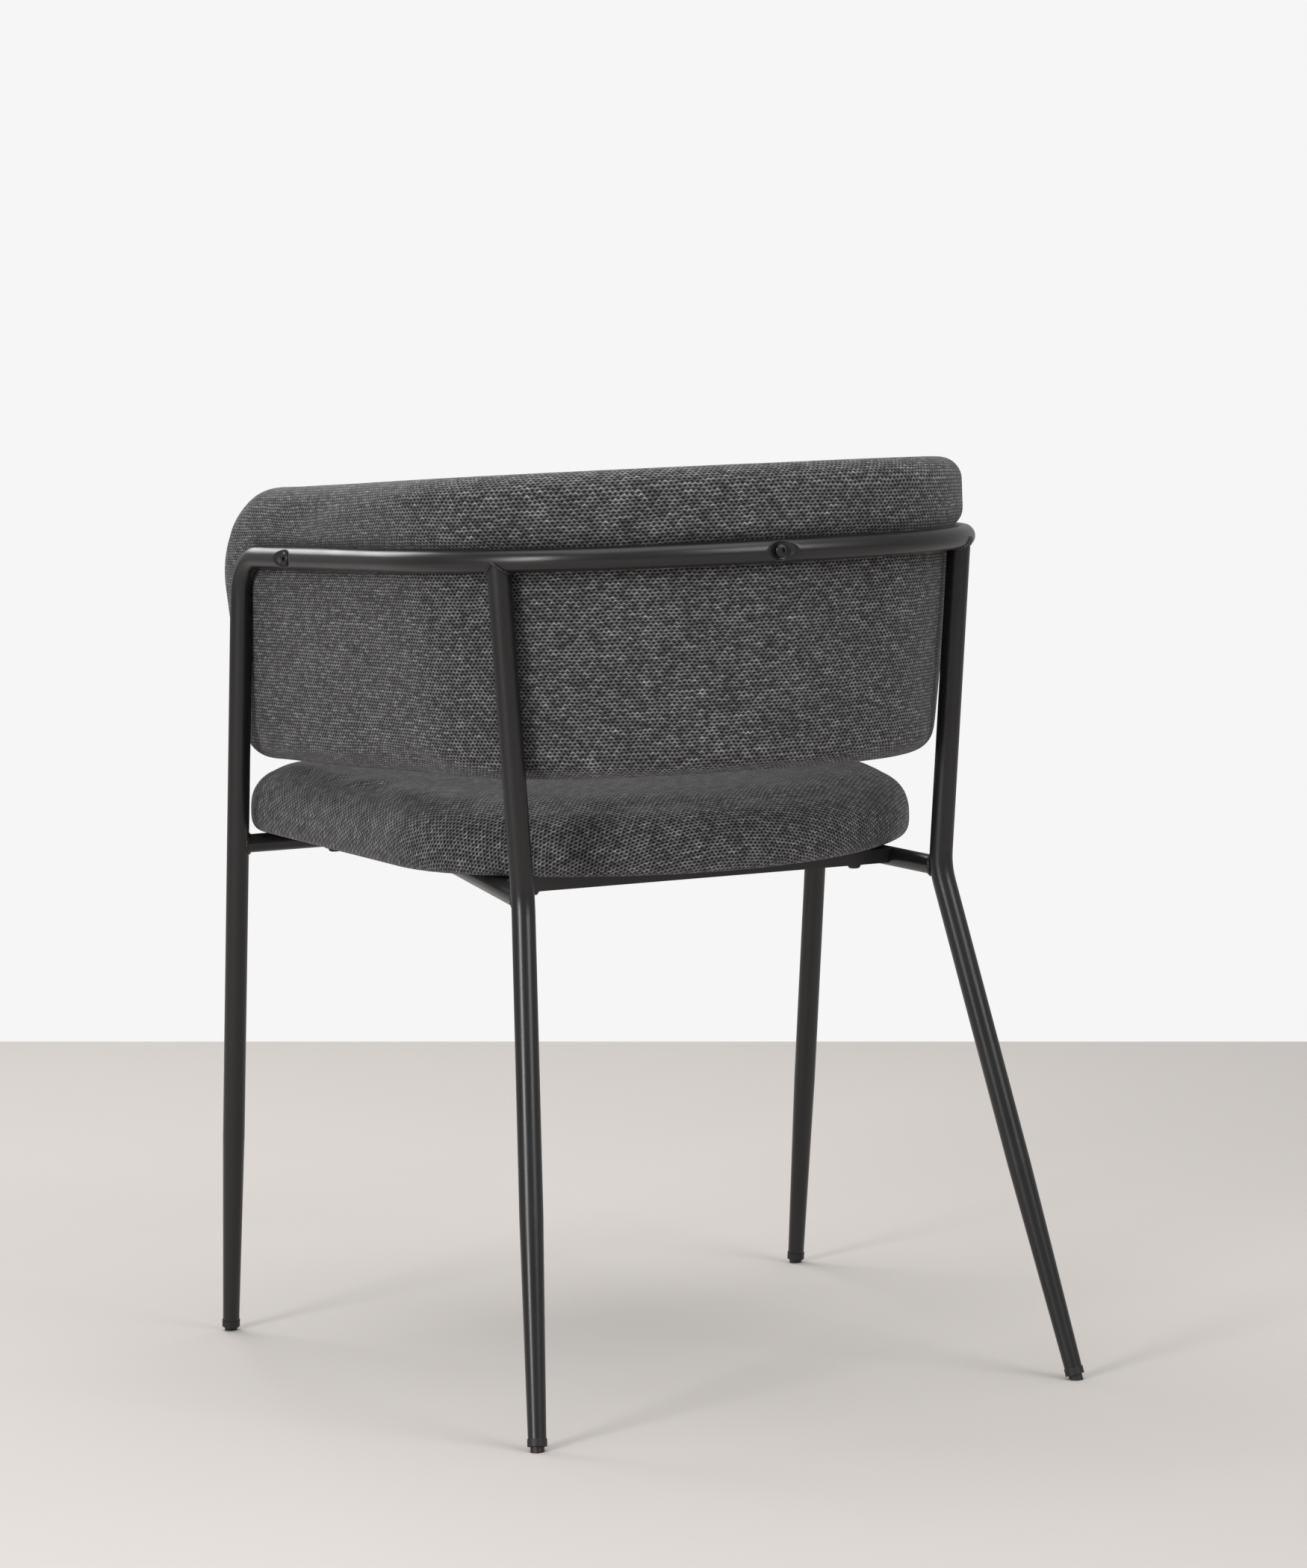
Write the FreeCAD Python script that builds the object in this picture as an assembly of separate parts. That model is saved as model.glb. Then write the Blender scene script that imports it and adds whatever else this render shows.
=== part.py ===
import FreeCAD, Part
import math
import os
from FreeCAD import Vector

# Dining chair with a bent tube frame, a wrap-round back pad and a round-edged seat.
# Millimetres, +Z up. The front faces -Y and the sitter's left is +X.
# Dimensions are laid out from the middle plane, the floor and the back rail's plan.
# The finished chair is then moved so that the origin lies on the floor under its middle.

# Tube sections
FRAME_D = 19.0            # rail and legs
UNDER_D = 16.0            # tubes under the seat
TUBE_WALL = 1.5
BAR_DEPTH = 30.0          # rectangular rear cross bar, front to back
BAR_HEIGHT = 12.0

# Back rail, a horizontal curve: back arc, corner arcs, then arms that flare outwards
RAIL_Z = 685.0
RAIL_BACK_Y = 228.0
BACK_ARC_R = 396.0
BACK_ARC_HALF_DEG = 12.5
CORNER_ARC_R = 210.0
ARM_FLARE_DEG = 6.25
RAIL_FRONT_Y = -239.3     # where the arm's axis meets the front leg's axis
FRONT_BEND_R = 38.0

# Legs: places where the leg axes meet the floor, and the bend of the rear leg
FRONT_FOOT_X = 277.4
FRONT_FOOT_Y = -362.4
REAR_FOOT_X = 238.0
REAR_FOOT_Y = 238.6
REAR_KNEE = Vector(186.1, 127.8, 415.0)
REAR_KNEE_R = 70.0
REAR_LEG_RAIL_DEG = 51.1  # place of the rear leg's top on the corner arc, from +Y
TAPER_LENGTH = 170.0      # legs narrow over this length above the glide
LEG_END_D = 14.5

# Foot glides
GLIDE_FLANGE_D = 15.6
GLIDE_FLANGE_H = 6.0
GLIDE_PAD_D = 11.0
GLIDE_PAD_H = 4.0
GLIDE_STEM_H = 18.0
GLIDE_STEM_GAP = 0.05

# Underframe
FRONT_CROSS_Z = 437.0
SIDE_TUBE_FRONT_X = 133.0
BAR_AHEAD_OF_KNEE = 76.8

# Seat pad
SEAT_BACK_AHEAD_OF_KNEE = 1.8
SEAT_FRONT_OVERHANG = 56.1  # ahead of the front cross tube's axis
SEAT_LEG_GAP = 5.3        # between the pad's side and the front leg
SEAT_SIDE_TAPER_DEG = 6.7
SEAT_THICKNESS = 53.0
SEAT_REAR_ARC_R = 270.0
SEAT_REAR_CORNER_R = 125.0
SEAT_FRONT_CORNER_R = 55.0
SEAT_FRONT_BOW = 8.0
SEAT_TOP_ROUND = 32.0
SEAT_BOTTOM_ROUND = 9.0
SEAT_BOARD_T = 12.0
SEAT_BOARD_INSET = 9.5
COVER_T = 1.5             # fabric with its thin backing
COVER_TURN_UNDER = 28.0
SEAT_REST_GAP = 0.3
SEAT_BOARD_LEVEL = SEAT_REST_GAP + COVER_T

# Seat fixings
BAR_BOLT_INSET = 30.4     # from the bar's end, taken on the side tube's axis
FRONT_BOLT_INSET = 88.6   # from the front leg's axis
BOLT_D = 6.0
BOLT_HOLE_D = 6.5
BOLT_HEAD_D = 10.5
BOLT_HEAD_H = 3.2
BOLT_SOCKET_AF = 4.0
BOLT_SOCKET_DEPTH = 2.0
WASHER_D = 16.0
WASHER_T = 1.5
TEE_FLANGE_D = 14.0
TEE_FLANGE_T = 1.2
TEE_BARREL_D = 7.8
TEE_BARREL_L = 9.0
THREAD_GAP = 0.05
THREAD_SHORT = 1.0        # a screw stops this far inside its insert

# Back pad
BACK_ABOVE_RAIL = 72.0
BACK_SEAT_GAP = 31.0      # from the seat's flat top, over the knees, up to the pad
BACK_TOP_OVERHANG = 50.7  # ahead of the front corner of the rail
BACK_BOTTOM_OVERHANG = 82.7
BACK_THICKNESS = 44.0
BACK_LEAN = 0.11          # outward shift for each unit of height
BACK_TOP_DROP = 0.022     # fall of the top edge for each unit forward
BACK_TOP_CORNER_R = 75.0
BACK_BOTTOM_CORNER_R = 45.0
BACK_EDGE_ROUND = 17.0
BACK_REST_GAP = 0.4
BACK_OUTER_FOAM = 4.0
BACK_SHELL_T = 9.0
BACK_SHELL_INSET = 20.0

# Back fixings: one screw in the middle of the rail and one in each arm
BACK_SCREW_FROM_FRONT = 93.3  # behind the front corner of the rail
DIMPLE_D = 13.0
DIMPLE_DEPTH = 2.6
DIMPLE_FLOOR_T = 1.5
SCREW_HEAD_D = 10.5
SCREW_HEAD_H = 2.2
INSERT_D = 9.0
INSERT_L = 9.0

UP = Vector(0, 0, 1)
INSERT_START = COVER_T + BACK_OUTER_FOAM
FIX_TOLERANCE = 0.01
OVERRUN = 2.0             # how far a cut runs past what it cuts


def mirrored(shape):
    """The same shape on the other side of the chair."""
    return shape.mirror(Vector(0, 0, 0), Vector(1, 0, 0))


def rod(start, end, diameter):
    """Solid round bar between two points."""
    axis = end - start
    return Part.makeCylinder(diameter / 2, axis.Length, start, axis)


def arc_edge(centre, radius, from_deg, to_deg, z):
    """Arc in a level plane, with angles taken from +Y towards +X."""
    def point(deg):
        a = math.radians(deg)
        return Vector(centre[0] + radius * math.sin(a), centre[1] + radius * math.cos(a), z)
    return Part.Arc(point(from_deg), point((from_deg + to_deg) / 2), point(to_deg)).toShape()


def line_edge(start, end):
    return Part.LineSegment(start, end).toShape()


def swept_rod(edges, diameter):
    """Solid round bar along joined tangent edges."""
    path = Part.Wire(edges)
    start = edges[0].valueAt(edges[0].FirstParameter)
    direction = edges[0].tangentAt(edges[0].FirstParameter)
    ring = Part.Wire([Part.makeCircle(diameter / 2, start, direction)])
    return path.makePipeShell([ring], True, True)


def bend_edges(start, corner, end, radius):
    """Line, arc and line that turn a corner with the given radius."""
    into = (start - corner).normalize()
    out = (end - corner).normalize()
    half = into.getAngle(out) / 2
    reach = radius / math.tan(half)
    bisector = (into + out).normalize()
    middle = corner + bisector * (radius / math.sin(half) - radius)
    first = corner + into * reach
    last = corner + out * reach
    arc = Part.Arc(first, middle, last).toShape()
    edges = [arc, line_edge(last, end)]
    if (first - start).Length > 0.01:
        edges.insert(0, line_edge(start, first))
    return edges


def flare_direction():
    a = math.radians(ARM_FLARE_DEG)
    return Vector(math.sin(a), -math.cos(a), 0)


def back_curve_points(offset):
    """Centres, radii and joining angles of the rail's plan curve, moved inwards by offset."""
    half = math.radians(BACK_ARC_HALF_DEG)
    back_centre = (0.0, RAIL_BACK_Y - BACK_ARC_R)
    corner_centre = ((BACK_ARC_R - CORNER_ARC_R) * math.sin(half),
                     back_centre[1] + (BACK_ARC_R - CORNER_ARC_R) * math.cos(half))
    return back_centre, BACK_ARC_R - offset, corner_centre, CORNER_ARC_R - offset


def arm_point(offset, y):
    """Point on the arm's straight run at a given y, for the curve moved inwards by offset."""
    _, _, centre, radius = back_curve_points(offset)
    a = math.radians(90 - ARM_FLARE_DEG)
    start = Vector(centre[0] + radius * math.sin(a), centre[1] + radius * math.cos(a), 0)
    direction = flare_direction()
    return start + direction * ((y - start.y) / direction.y)


def back_curve(offset, left_end, z):
    """Edges of the plan curve from the left arm's end round the back to the right arm's end."""
    back_centre, back_r, centre, corner_r = back_curve_points(offset)
    turn = 90 - ARM_FLARE_DEG
    a = math.radians(turn)
    left = Vector(left_end.x, left_end.y, z)
    tangent = Vector(centre[0] + corner_r * math.sin(a), centre[1] + corner_r * math.cos(a), z)
    other = (-centre[0], centre[1])
    return [
        line_edge(left, tangent),
        arc_edge(centre, corner_r, turn, BACK_ARC_HALF_DEG, z),
        arc_edge(back_centre, back_r, BACK_ARC_HALF_DEG, -BACK_ARC_HALF_DEG, z),
        arc_edge(other, corner_r, -BACK_ARC_HALF_DEG, -turn, z),
        line_edge(Vector(-tangent.x, tangent.y, z), Vector(-left.x, left.y, z)),
    ]


# Places that several parts share

ARM_CORNER = arm_point(0, RAIL_FRONT_Y) + UP * RAIL_Z
FRONT_FOOT = Vector(FRONT_FOOT_X, FRONT_FOOT_Y, 0)
REAR_FOOT = Vector(REAR_FOOT_X, REAR_FOOT_Y, 0)


def on_line(start, end, z):
    """Point of a line at a height."""
    return start + (end - start) * ((z - start.z) / (end.z - start.z))


def rear_leg_top():
    _, _, centre, radius = back_curve_points(0)
    a = math.radians(REAR_LEG_RAIL_DEG)
    return Vector(centre[0] + radius * math.sin(a), centre[1] + radius * math.cos(a), RAIL_Z)


def arm_tangent_point():
    """Where the arm's straight run ends and the front bend starts."""
    down = (FRONT_FOOT - ARM_CORNER).normalize()
    back = flare_direction() * -1
    reach = FRONT_BEND_R / math.tan(down.getAngle(back) / 2)
    return ARM_CORNER + back * reach


CROSS_END = on_line(FRONT_FOOT, ARM_CORNER, FRONT_CROSS_Z)
SIDE_FRONT = Vector(SIDE_TUBE_FRONT_X, CROSS_END.y, FRONT_CROSS_Z)
SEAT_PIVOT = Vector(0, REAR_KNEE.y, REAR_KNEE.z + UNDER_D / 2)
SEAT_TILT_DEG = math.degrees(math.atan2(FRONT_CROSS_Z - REAR_KNEE.z, REAR_KNEE.y - CROSS_END.y))
SEAT_BACK_Y = REAR_KNEE.y - SEAT_BACK_AHEAD_OF_KNEE
SEAT_FRONT_Y = CROSS_END.y - SEAT_FRONT_OVERHANG
BAR_Y = REAR_KNEE.y - BAR_AHEAD_OF_KNEE
BACK_TOP_Z = RAIL_Z + BACK_ABOVE_RAIL
BACK_BOTTOM_Z = SEAT_PIVOT.z + SEAT_THICKNESS + BACK_SEAT_GAP
BACK_TOP_FRONT_Y = RAIL_FRONT_Y - BACK_TOP_OVERHANG
BACK_BOTTOM_FRONT_Y = RAIL_FRONT_Y - BACK_BOTTOM_OVERHANG


def on_seat_base(shape):
    """Moves a shape drawn on the level plane z = 0 onto the tilted plane of the underframe's top."""
    placed = shape.copy()
    placed.translate(Vector(0, 0, SEAT_PIVOT.z))
    placed.rotate(SEAT_PIVOT, Vector(1, 0, 0), -SEAT_TILT_DEG)
    return placed


# Frame

def leg_rod(edges, foot, diameter, end_diameter):
    """Bar along the edges that end at the foot, narrowed over its lowest stretch."""
    start = edges[-1].valueAt(edges[-1].FirstParameter)
    up = (start - foot).normalize()
    lower = foot + up * (GLIDE_FLANGE_H + GLIDE_PAD_H)
    upper = lower + up * TAPER_LENGTH
    full = swept_rod(edges[:-1] + [line_edge(start, upper)], diameter)
    cone = Part.makeCone(diameter / 2, end_diameter / 2, TAPER_LENGTH, upper, up * -1)
    return full.fuse(cone).removeSplitter()


def leg_tube(edges, foot):
    outer = leg_rod(edges, foot, FRAME_D, LEG_END_D)
    bore = leg_rod(edges, foot, FRAME_D - 2 * TUBE_WALL, LEG_END_D - 2 * TUBE_WALL)
    return outer.cut(bore)


def front_leg_edges():
    return bend_edges(arm_tangent_point(), ARM_CORNER, FRONT_FOOT, FRONT_BEND_R)


def rear_leg_edges():
    return bend_edges(rear_leg_top(), REAR_KNEE, REAR_FOOT, REAR_KNEE_R)


def rail_rod(diameter):
    end = arm_tangent_point()
    return swept_rod(back_curve(0, end, RAIL_Z), diameter)


def back_screw_places():
    """Point on the rail's axis and inward direction for each screw of the back pad."""
    arm = arm_point(0, RAIL_FRONT_Y + BACK_SCREW_FROM_FRONT)
    direction = flare_direction()
    inward = Vector(direction.y, -direction.x, 0)
    return [
        (Vector(0, RAIL_BACK_Y, RAIL_Z), Vector(0, -1, 0)),
        (Vector(arm.x, arm.y, RAIL_Z), inward),
        (Vector(-arm.x, arm.y, RAIL_Z), Vector(-inward.x, inward.y, 0)),
    ]


def back_rail():
    outer = rail_rod(FRAME_D)
    tube = outer.cut(rail_rod(FRAME_D - 2 * TUBE_WALL))
    for place, inward in back_screw_places():
        floor = place - inward * (FRAME_D / 2 - DIMPLE_DEPTH)
        backing = Part.makeCylinder(DIMPLE_D / 2, DIMPLE_FLOOR_T, floor, inward).common(outer)
        pocket = Part.makeCylinder(DIMPLE_D / 2, FRAME_D, floor, inward * -1)
        hole = Part.makeCylinder(BOLT_HOLE_D / 2, 2 * FRAME_D, floor, inward)
        tube = tube.fuse(backing).cut(pocket).cut(hole)
    return tube


def front_leg():
    return leg_tube(front_leg_edges(), FRONT_FOOT)


def rear_leg():
    return leg_tube(rear_leg_edges(), REAR_FOOT).cut(rail_rod(FRAME_D))


def front_cross_rod(diameter):
    return rod(Vector(-CROSS_END.x, CROSS_END.y, CROSS_END.z), CROSS_END, diameter)


def side_rod(diameter):
    return rod(REAR_KNEE, SIDE_FRONT, diameter)


def seat_bolt_places():
    """Places of the seat bolts on the seat's base plane."""
    front_y = seat_base_y(CROSS_END.y)
    bar_y = seat_base_y(BAR_Y)
    bar_x = side_tube_x(BAR_Y) - BAR_BOLT_INSET
    front_x = CROSS_END.x - FRONT_BOLT_INSET
    return [(bar_x, bar_y), (-bar_x, bar_y), (front_x, front_y), (-front_x, front_y)]


def side_tube_x(y):
    """Distance of the side tube's axis from the middle plane."""
    share = (REAR_KNEE.y - y) / (REAR_KNEE.y - SIDE_FRONT.y)
    return REAR_KNEE.x + (SIDE_FRONT.x - REAR_KNEE.x) * share


def seat_base_y(y):
    """Distance along the tilted base that stands over a level y."""
    return SEAT_PIVOT.y + (y - SEAT_PIVOT.y) / math.cos(math.radians(SEAT_TILT_DEG))


def seat_bolt_holes():
    """Holes from well below the tubes up to the top of the seat board."""
    length = SEAT_THICKNESS + SEAT_BOARD_LEVEL + SEAT_BOARD_T
    holes = []
    for x, y in seat_bolt_places():
        holes.append(Part.makeCylinder(BOLT_HOLE_D / 2, length, Vector(x, y, -SEAT_THICKNESS)))
    return on_seat_base(Part.makeCompound(holes))


def front_cross_tube():
    tube = front_cross_rod(UNDER_D).cut(front_cross_rod(UNDER_D - 2 * TUBE_WALL))
    leg = leg_rod(front_leg_edges(), FRONT_FOOT, FRAME_D, LEG_END_D)
    return tube.cut(leg).cut(mirrored(leg)).cut(seat_bolt_holes())


def side_tube():
    tube = side_rod(UNDER_D).cut(side_rod(UNDER_D - 2 * TUBE_WALL))
    leg = leg_rod(rear_leg_edges(), REAR_FOOT, FRAME_D, LEG_END_D)
    return tube.cut(leg).cut(front_cross_rod(UNDER_D))


def rear_cross_bar():
    half = side_tube_x(BAR_Y - BAR_DEPTH / 2)
    y = seat_base_y(BAR_Y) - BAR_DEPTH / 2
    outer = Part.makeBox(2 * half, BAR_DEPTH, BAR_HEIGHT, Vector(-half, y, -BAR_HEIGHT))
    bore = Part.makeBox(2 * half, BAR_DEPTH - 2 * TUBE_WALL, BAR_HEIGHT - 2 * TUBE_WALL,
                        Vector(-half, y + TUBE_WALL, TUBE_WALL - BAR_HEIGHT))
    side = side_rod(UNDER_D)
    return on_seat_base(outer.cut(bore)).cut(side).cut(mirrored(side)).cut(seat_bolt_holes())


def foot_glide(above, foot):
    """Plug with a stem in the leg, a flange on its end and a pad cut level with the floor."""
    up = (above - foot).normalize()
    pad_top = foot + up * GLIDE_PAD_H
    flange_top = pad_top + up * GLIDE_FLANGE_H
    taper = (FRAME_D - LEG_END_D) / TAPER_LENGTH / 2
    stem_low = LEG_END_D / 2 - TUBE_WALL - GLIDE_STEM_GAP
    pad = Part.makeCylinder(GLIDE_PAD_D / 2, 2 * GLIDE_PAD_H, foot - up * GLIDE_PAD_H, up)
    flange = Part.makeCylinder(GLIDE_FLANGE_D / 2, GLIDE_FLANGE_H, pad_top, up)
    stem = Part.makeCone(stem_low, stem_low + taper * GLIDE_STEM_H, GLIDE_STEM_H, flange_top, up)
    side = 4 * GLIDE_FLANGE_D
    floor = Part.makeBox(side, side, side, Vector(foot.x - side / 2, foot.y - side / 2, -side))
    return pad.fuse(flange).fuse(stem).cut(floor).removeSplitter()


# Seat pad

def seat_outline(inset):
    """Closed plan outline of the seat, moved inwards by inset."""
    back = SEAT_BACK_Y - inset
    front = SEAT_FRONT_Y + inset
    arc_r = SEAT_REAR_ARC_R - inset
    corner_r = SEAT_REAR_CORNER_R - inset
    front_r = SEAT_FRONT_CORNER_R - inset
    side_turn = 90 - SEAT_SIDE_TAPER_DEG
    a = math.radians(side_turn)
    normal = Vector(math.sin(a), math.cos(a), 0)
    # rear corner circle: inside the back arc and tangent to the side line
    side_x = CROSS_END.x - FRAME_D / 2 - SEAT_LEG_GAP
    side_reach = normal.x * side_x + normal.y * CROSS_END.y - inset
    arc_centre_y = back - arc_r
    gap = arc_r - corner_r
    reach = side_reach - corner_r - normal.y * arc_centre_y
    lean = math.asin(reach / gap) - math.radians(SEAT_SIDE_TAPER_DEG)
    start_deg = math.degrees(lean)
    corner = (gap * math.sin(lean), arc_centre_y + gap * math.cos(lean))
    front_corner_y = front + front_r
    front_corner = ((side_reach - front_r - normal.y * front_corner_y) / normal.x, front_corner_y)
    rear_end = Vector(corner[0] + corner_r * normal.x, corner[1] + corner_r * normal.y, 0)
    front_end = Vector(front_corner[0] + front_r * normal.x, front_corner[1] + front_r * normal.y, 0)
    front_foot = Vector(front_corner[0], front, 0)
    left = [
        arc_edge(corner, corner_r, start_deg, side_turn, 0),
        line_edge(rear_end, front_end),
        arc_edge(front_corner, front_r, side_turn, 180, 0),
    ]
    right = [mirrored(edge) for edge in left]
    back_arc = arc_edge((0, arc_centre_y), arc_r, -start_deg, start_deg, 0)
    bow = Vector(0, front - SEAT_FRONT_BOW, 0)
    front_arc = Part.Arc(front_foot, bow, Vector(-front_foot.x, front, 0)).toShape()
    edges = Part.__sortEdges__([back_arc] + left + [front_arc] + right)
    return Part.Wire(edges)


def seat_slab(inset, low, high):
    face = Part.Face(seat_outline(inset))
    slab = face.extrude(Vector(0, 0, high - low))
    slab.translate(Vector(0, 0, low))
    return slab


def edges_at(shape, z):
    return [e for e in shape.Edges if abs(e.BoundBox.ZMin - z) < 1e-3 and abs(e.BoundBox.ZMax - z) < 1e-3]


def seat_body(inset):
    """The pad's outer form, or the same form shrunk by inset."""
    low = SEAT_REST_GAP + inset
    high = SEAT_REST_GAP + SEAT_THICKNESS - inset
    slab = seat_slab(inset, low, high)
    slab = slab.makeFillet(SEAT_TOP_ROUND - inset, edges_at(slab, high))
    return slab.makeFillet(SEAT_BOTTOM_ROUND - inset, edges_at(slab, low))


def seat_cover():
    """A closed skin between two forms, then opened underneath inside its turned-under edge."""
    outer, inner = seat_body(0).Shells[0], seat_body(COVER_T).Shells[0]
    skin = Part.makeSolid(Part.Compound([outer, inner]))
    skin.fix(FIX_TOLERANCE, FIX_TOLERANCE, FIX_TOLERANCE)
    opening = seat_slab(COVER_TURN_UNDER, 0, SEAT_BOARD_LEVEL)
    return on_seat_base(skin.cut(opening)).cut(seat_bolt_holes())


def seat_dust_cloth():
    low = SEAT_REST_GAP
    cloth = seat_slab(COVER_TURN_UNDER + SEAT_REST_GAP, low, low + COVER_T)
    return on_seat_base(cloth).cut(seat_bolt_holes())


def seat_board_level():
    low = SEAT_REST_GAP + COVER_T
    return seat_slab(SEAT_BOARD_INSET, low, low + SEAT_BOARD_T)


def tee_nut_level(x, y):
    top = SEAT_BOARD_LEVEL + SEAT_BOARD_T
    barrel = Part.makeCylinder(TEE_BARREL_D / 2, TEE_BARREL_L, Vector(x, y, top - TEE_BARREL_L))
    flange = Part.makeCylinder(TEE_FLANGE_D / 2, TEE_FLANGE_T, Vector(x, y, top))
    return barrel.fuse(flange)


def seat_board():
    board = seat_board_level()
    for x, y in seat_bolt_places():
        board = board.cut(tee_nut_level(x, y))
    return on_seat_base(board).cut(seat_bolt_holes())


def seat_foam():
    foam = seat_body(COVER_T).cut(seat_board_level())
    for x, y in seat_bolt_places():
        top = SEAT_BOARD_LEVEL + SEAT_BOARD_T
        room = Part.makeCylinder(TEE_FLANGE_D / 2, TEE_FLANGE_T + BOLT_D, Vector(x, y, top))
        foam = foam.cut(room)
    return on_seat_base(foam)


def tee_nuts():
    nuts = []
    for x, y in seat_bolt_places():
        thread = Part.makeCylinder(BOLT_D / 2 + THREAD_GAP, SEAT_THICKNESS, Vector(x, y, 0))
        nuts.append(tee_nut_level(x, y).cut(thread))
    return on_seat_base(Part.makeCompound(nuts))


def hexagon(across_flats, height, place, axis):
    """Six-sided prism for a key socket."""
    radius = across_flats / math.sqrt(3)
    points = []
    for i in range(7):
        a = math.radians(60 * i)
        points.append(Vector(radius * math.cos(a), radius * math.sin(a), 0))
    prism = Part.Face(Part.makePolygon(points)).extrude(Vector(0, 0, height))
    prism.Placement = FreeCAD.Placement(place, FreeCAD.Rotation(UP, axis))
    return prism


def button_screw(head_seat, axis, head_d, head_h, length):
    """Round-head screw: the head stands back from its seat and the shank runs along the axis."""
    head = Part.makeCylinder(head_d / 2, head_h, head_seat - axis * head_h, axis)
    outer_rim = [e for e in head.Edges if e.Closed and (e.CenterOfMass - head_seat).Length > head_h / 2]
    head = head.makeFillet(head_h * 0.6, outer_rim)
    shank = Part.makeCylinder(BOLT_D / 2, length, head_seat, axis)
    socket = hexagon(BOLT_SOCKET_AF, BOLT_SOCKET_DEPTH, head_seat - axis * head_h, axis)
    return head.fuse(shank).cut(socket)


def seat_bolt_stack():
    """Height under each bolt place: the bar for the rear pair, the cross tube for the front pair."""
    return [BAR_HEIGHT, BAR_HEIGHT, UNDER_D, UNDER_D]


def seat_bolts():
    top = SEAT_BOARD_LEVEL + SEAT_BOARD_T + TEE_FLANGE_T + BOLT_D / 3
    bolts = []
    for (x, y), depth in zip(seat_bolt_places(), seat_bolt_stack()):
        seat = Vector(x, y, -depth - WASHER_T)
        bolts.append(button_screw(seat, UP, BOLT_HEAD_D, BOLT_HEAD_H, top - seat.z))
    return on_seat_base(Part.makeCompound(bolts))


def seat_washers():
    rings = []
    for (x, y), depth in zip(seat_bolt_places(), seat_bolt_stack()):
        low = Vector(x, y, -depth - WASHER_T)
        ring = Part.makeCylinder(WASHER_D / 2, WASHER_T, low)
        rings.append(ring.cut(Part.makeCylinder(BOLT_HOLE_D / 2, WASHER_T, low)))
    return on_seat_base(Part.makeCompound(rings))


# Back pad

def back_offset(z):
    """How far the pad's outer face stands inside the rail's axis at a height."""
    return FRAME_D / 2 + BACK_REST_GAP + (RAIL_Z - z) * BACK_LEAN


def arm_start(offset, z):
    """Point where the arm's straight run leaves the corner arc."""
    _, _, centre, radius = back_curve_points(offset)
    a = math.radians(90 - ARM_FLARE_DEG)
    return Vector(centre[0] + radius * math.sin(a), centre[1] + radius * math.cos(a), z)


def bend_wire(offset, thickness, z):
    """Closed plan outline of the band's curved stretch."""
    outer = back_curve(offset, arm_start(offset, z) + flare_direction(), z)[1:4]
    inner = back_curve(offset + thickness, arm_start(offset + thickness, z) + flare_direction(), z)[1:4]
    left = line_edge(arm_start(offset, z), arm_start(offset + thickness, z))
    return Part.Wire(Part.__sortEdges__(outer + [mirrored(left)] + inner[::-1] + [left]))


def arm_corners(offset, thickness, end_y, z):
    """Plan corners of the band's straight stretch on the left, outer side first."""
    end = arm_point(offset, end_y) + UP * z
    direction = flare_direction()
    across = Vector(direction.y, -direction.x, 0) * thickness
    return [arm_start(offset, z), end, end + across, arm_start(offset + thickness, z)]


def flat_sided_block(low_ring, high_ring):
    """Solid between two rings with the same number of corners and flat sides."""
    faces = [Part.Face(Part.makePolygon(ring + ring[:1])) for ring in (low_ring, high_ring)]
    count = len(low_ring)
    for i in range(count):
        j = (i + 1) % count
        side = [low_ring[i], low_ring[j], high_ring[j], high_ring[i], low_ring[i]]
        faces.append(Part.Face(Part.makePolygon(side)))
    return Part.makeSolid(Part.makeShell(faces))


def curved_panel(face_inset, thickness, edge_inset, round_r):
    """Leaning band with rounded ends; round_r rounds its long edges."""
    low = BACK_BOTTOM_Z + edge_inset
    high = BACK_TOP_Z - edge_inset
    low_offset = back_offset(low) + face_inset
    high_offset = back_offset(high) + face_inset
    bend_rings = [bend_wire(low_offset, thickness, low), bend_wire(high_offset, thickness, high)]
    bend = Part.makeLoft(bend_rings, True, True)
    arm = flat_sided_block(arm_corners(low_offset, thickness, BACK_BOTTOM_FRONT_Y + edge_inset, low),
                           arm_corners(high_offset, thickness, BACK_TOP_FRONT_Y + edge_inset, high))
    if arm.Volume < 0:
        arm.reverse()
    panel = bend.fuse([arm, mirrored(arm)]).removeSplitter().cut(space_above(high)).Solids[0]
    top_ends = end_edges(panel, thickness, RAIL_Z, BACK_TOP_Z)
    panel = panel.makeFillet(BACK_TOP_CORNER_R - edge_inset, top_ends)
    bottom_ends = end_edges(panel, thickness, 0, low + OVERRUN)
    panel = panel.makeFillet(BACK_BOTTOM_CORNER_R - edge_inset, bottom_ends)
    if round_r:
        panel = panel.makeFillet(round_r, long_edges(panel, thickness))
    return panel


def space_above(z):
    """Everything over the pad's top plane, which falls towards the front from z at the rear."""
    size = 4 * BACK_ARC_R
    block = Part.makeBox(size, size, size, Vector(-size / 2, RAIL_BACK_Y + size / 4 - size, z))
    block.rotate(Vector(0, RAIL_BACK_Y, z), Vector(1, 0, 0), math.degrees(math.atan(BACK_TOP_DROP)))
    return block


def runs_across(edge, thickness):
    """True for an edge that spans the band's thickness."""
    start = edge.valueAt(edge.FirstParameter)
    end = edge.valueAt(edge.LastParameter)
    return edge.Length < thickness * 1.1 and abs(start.z - end.z) < 2


def end_edges(panel, thickness, low, high):
    """Edges across the two ends of the band, between two heights."""
    found = []
    for edge in panel.Edges:
        box = edge.BoundBox
        if runs_across(edge, thickness) and box.YMax < 0 and low <= box.ZMin <= high:
            found.append(edge)
    return found


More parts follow.
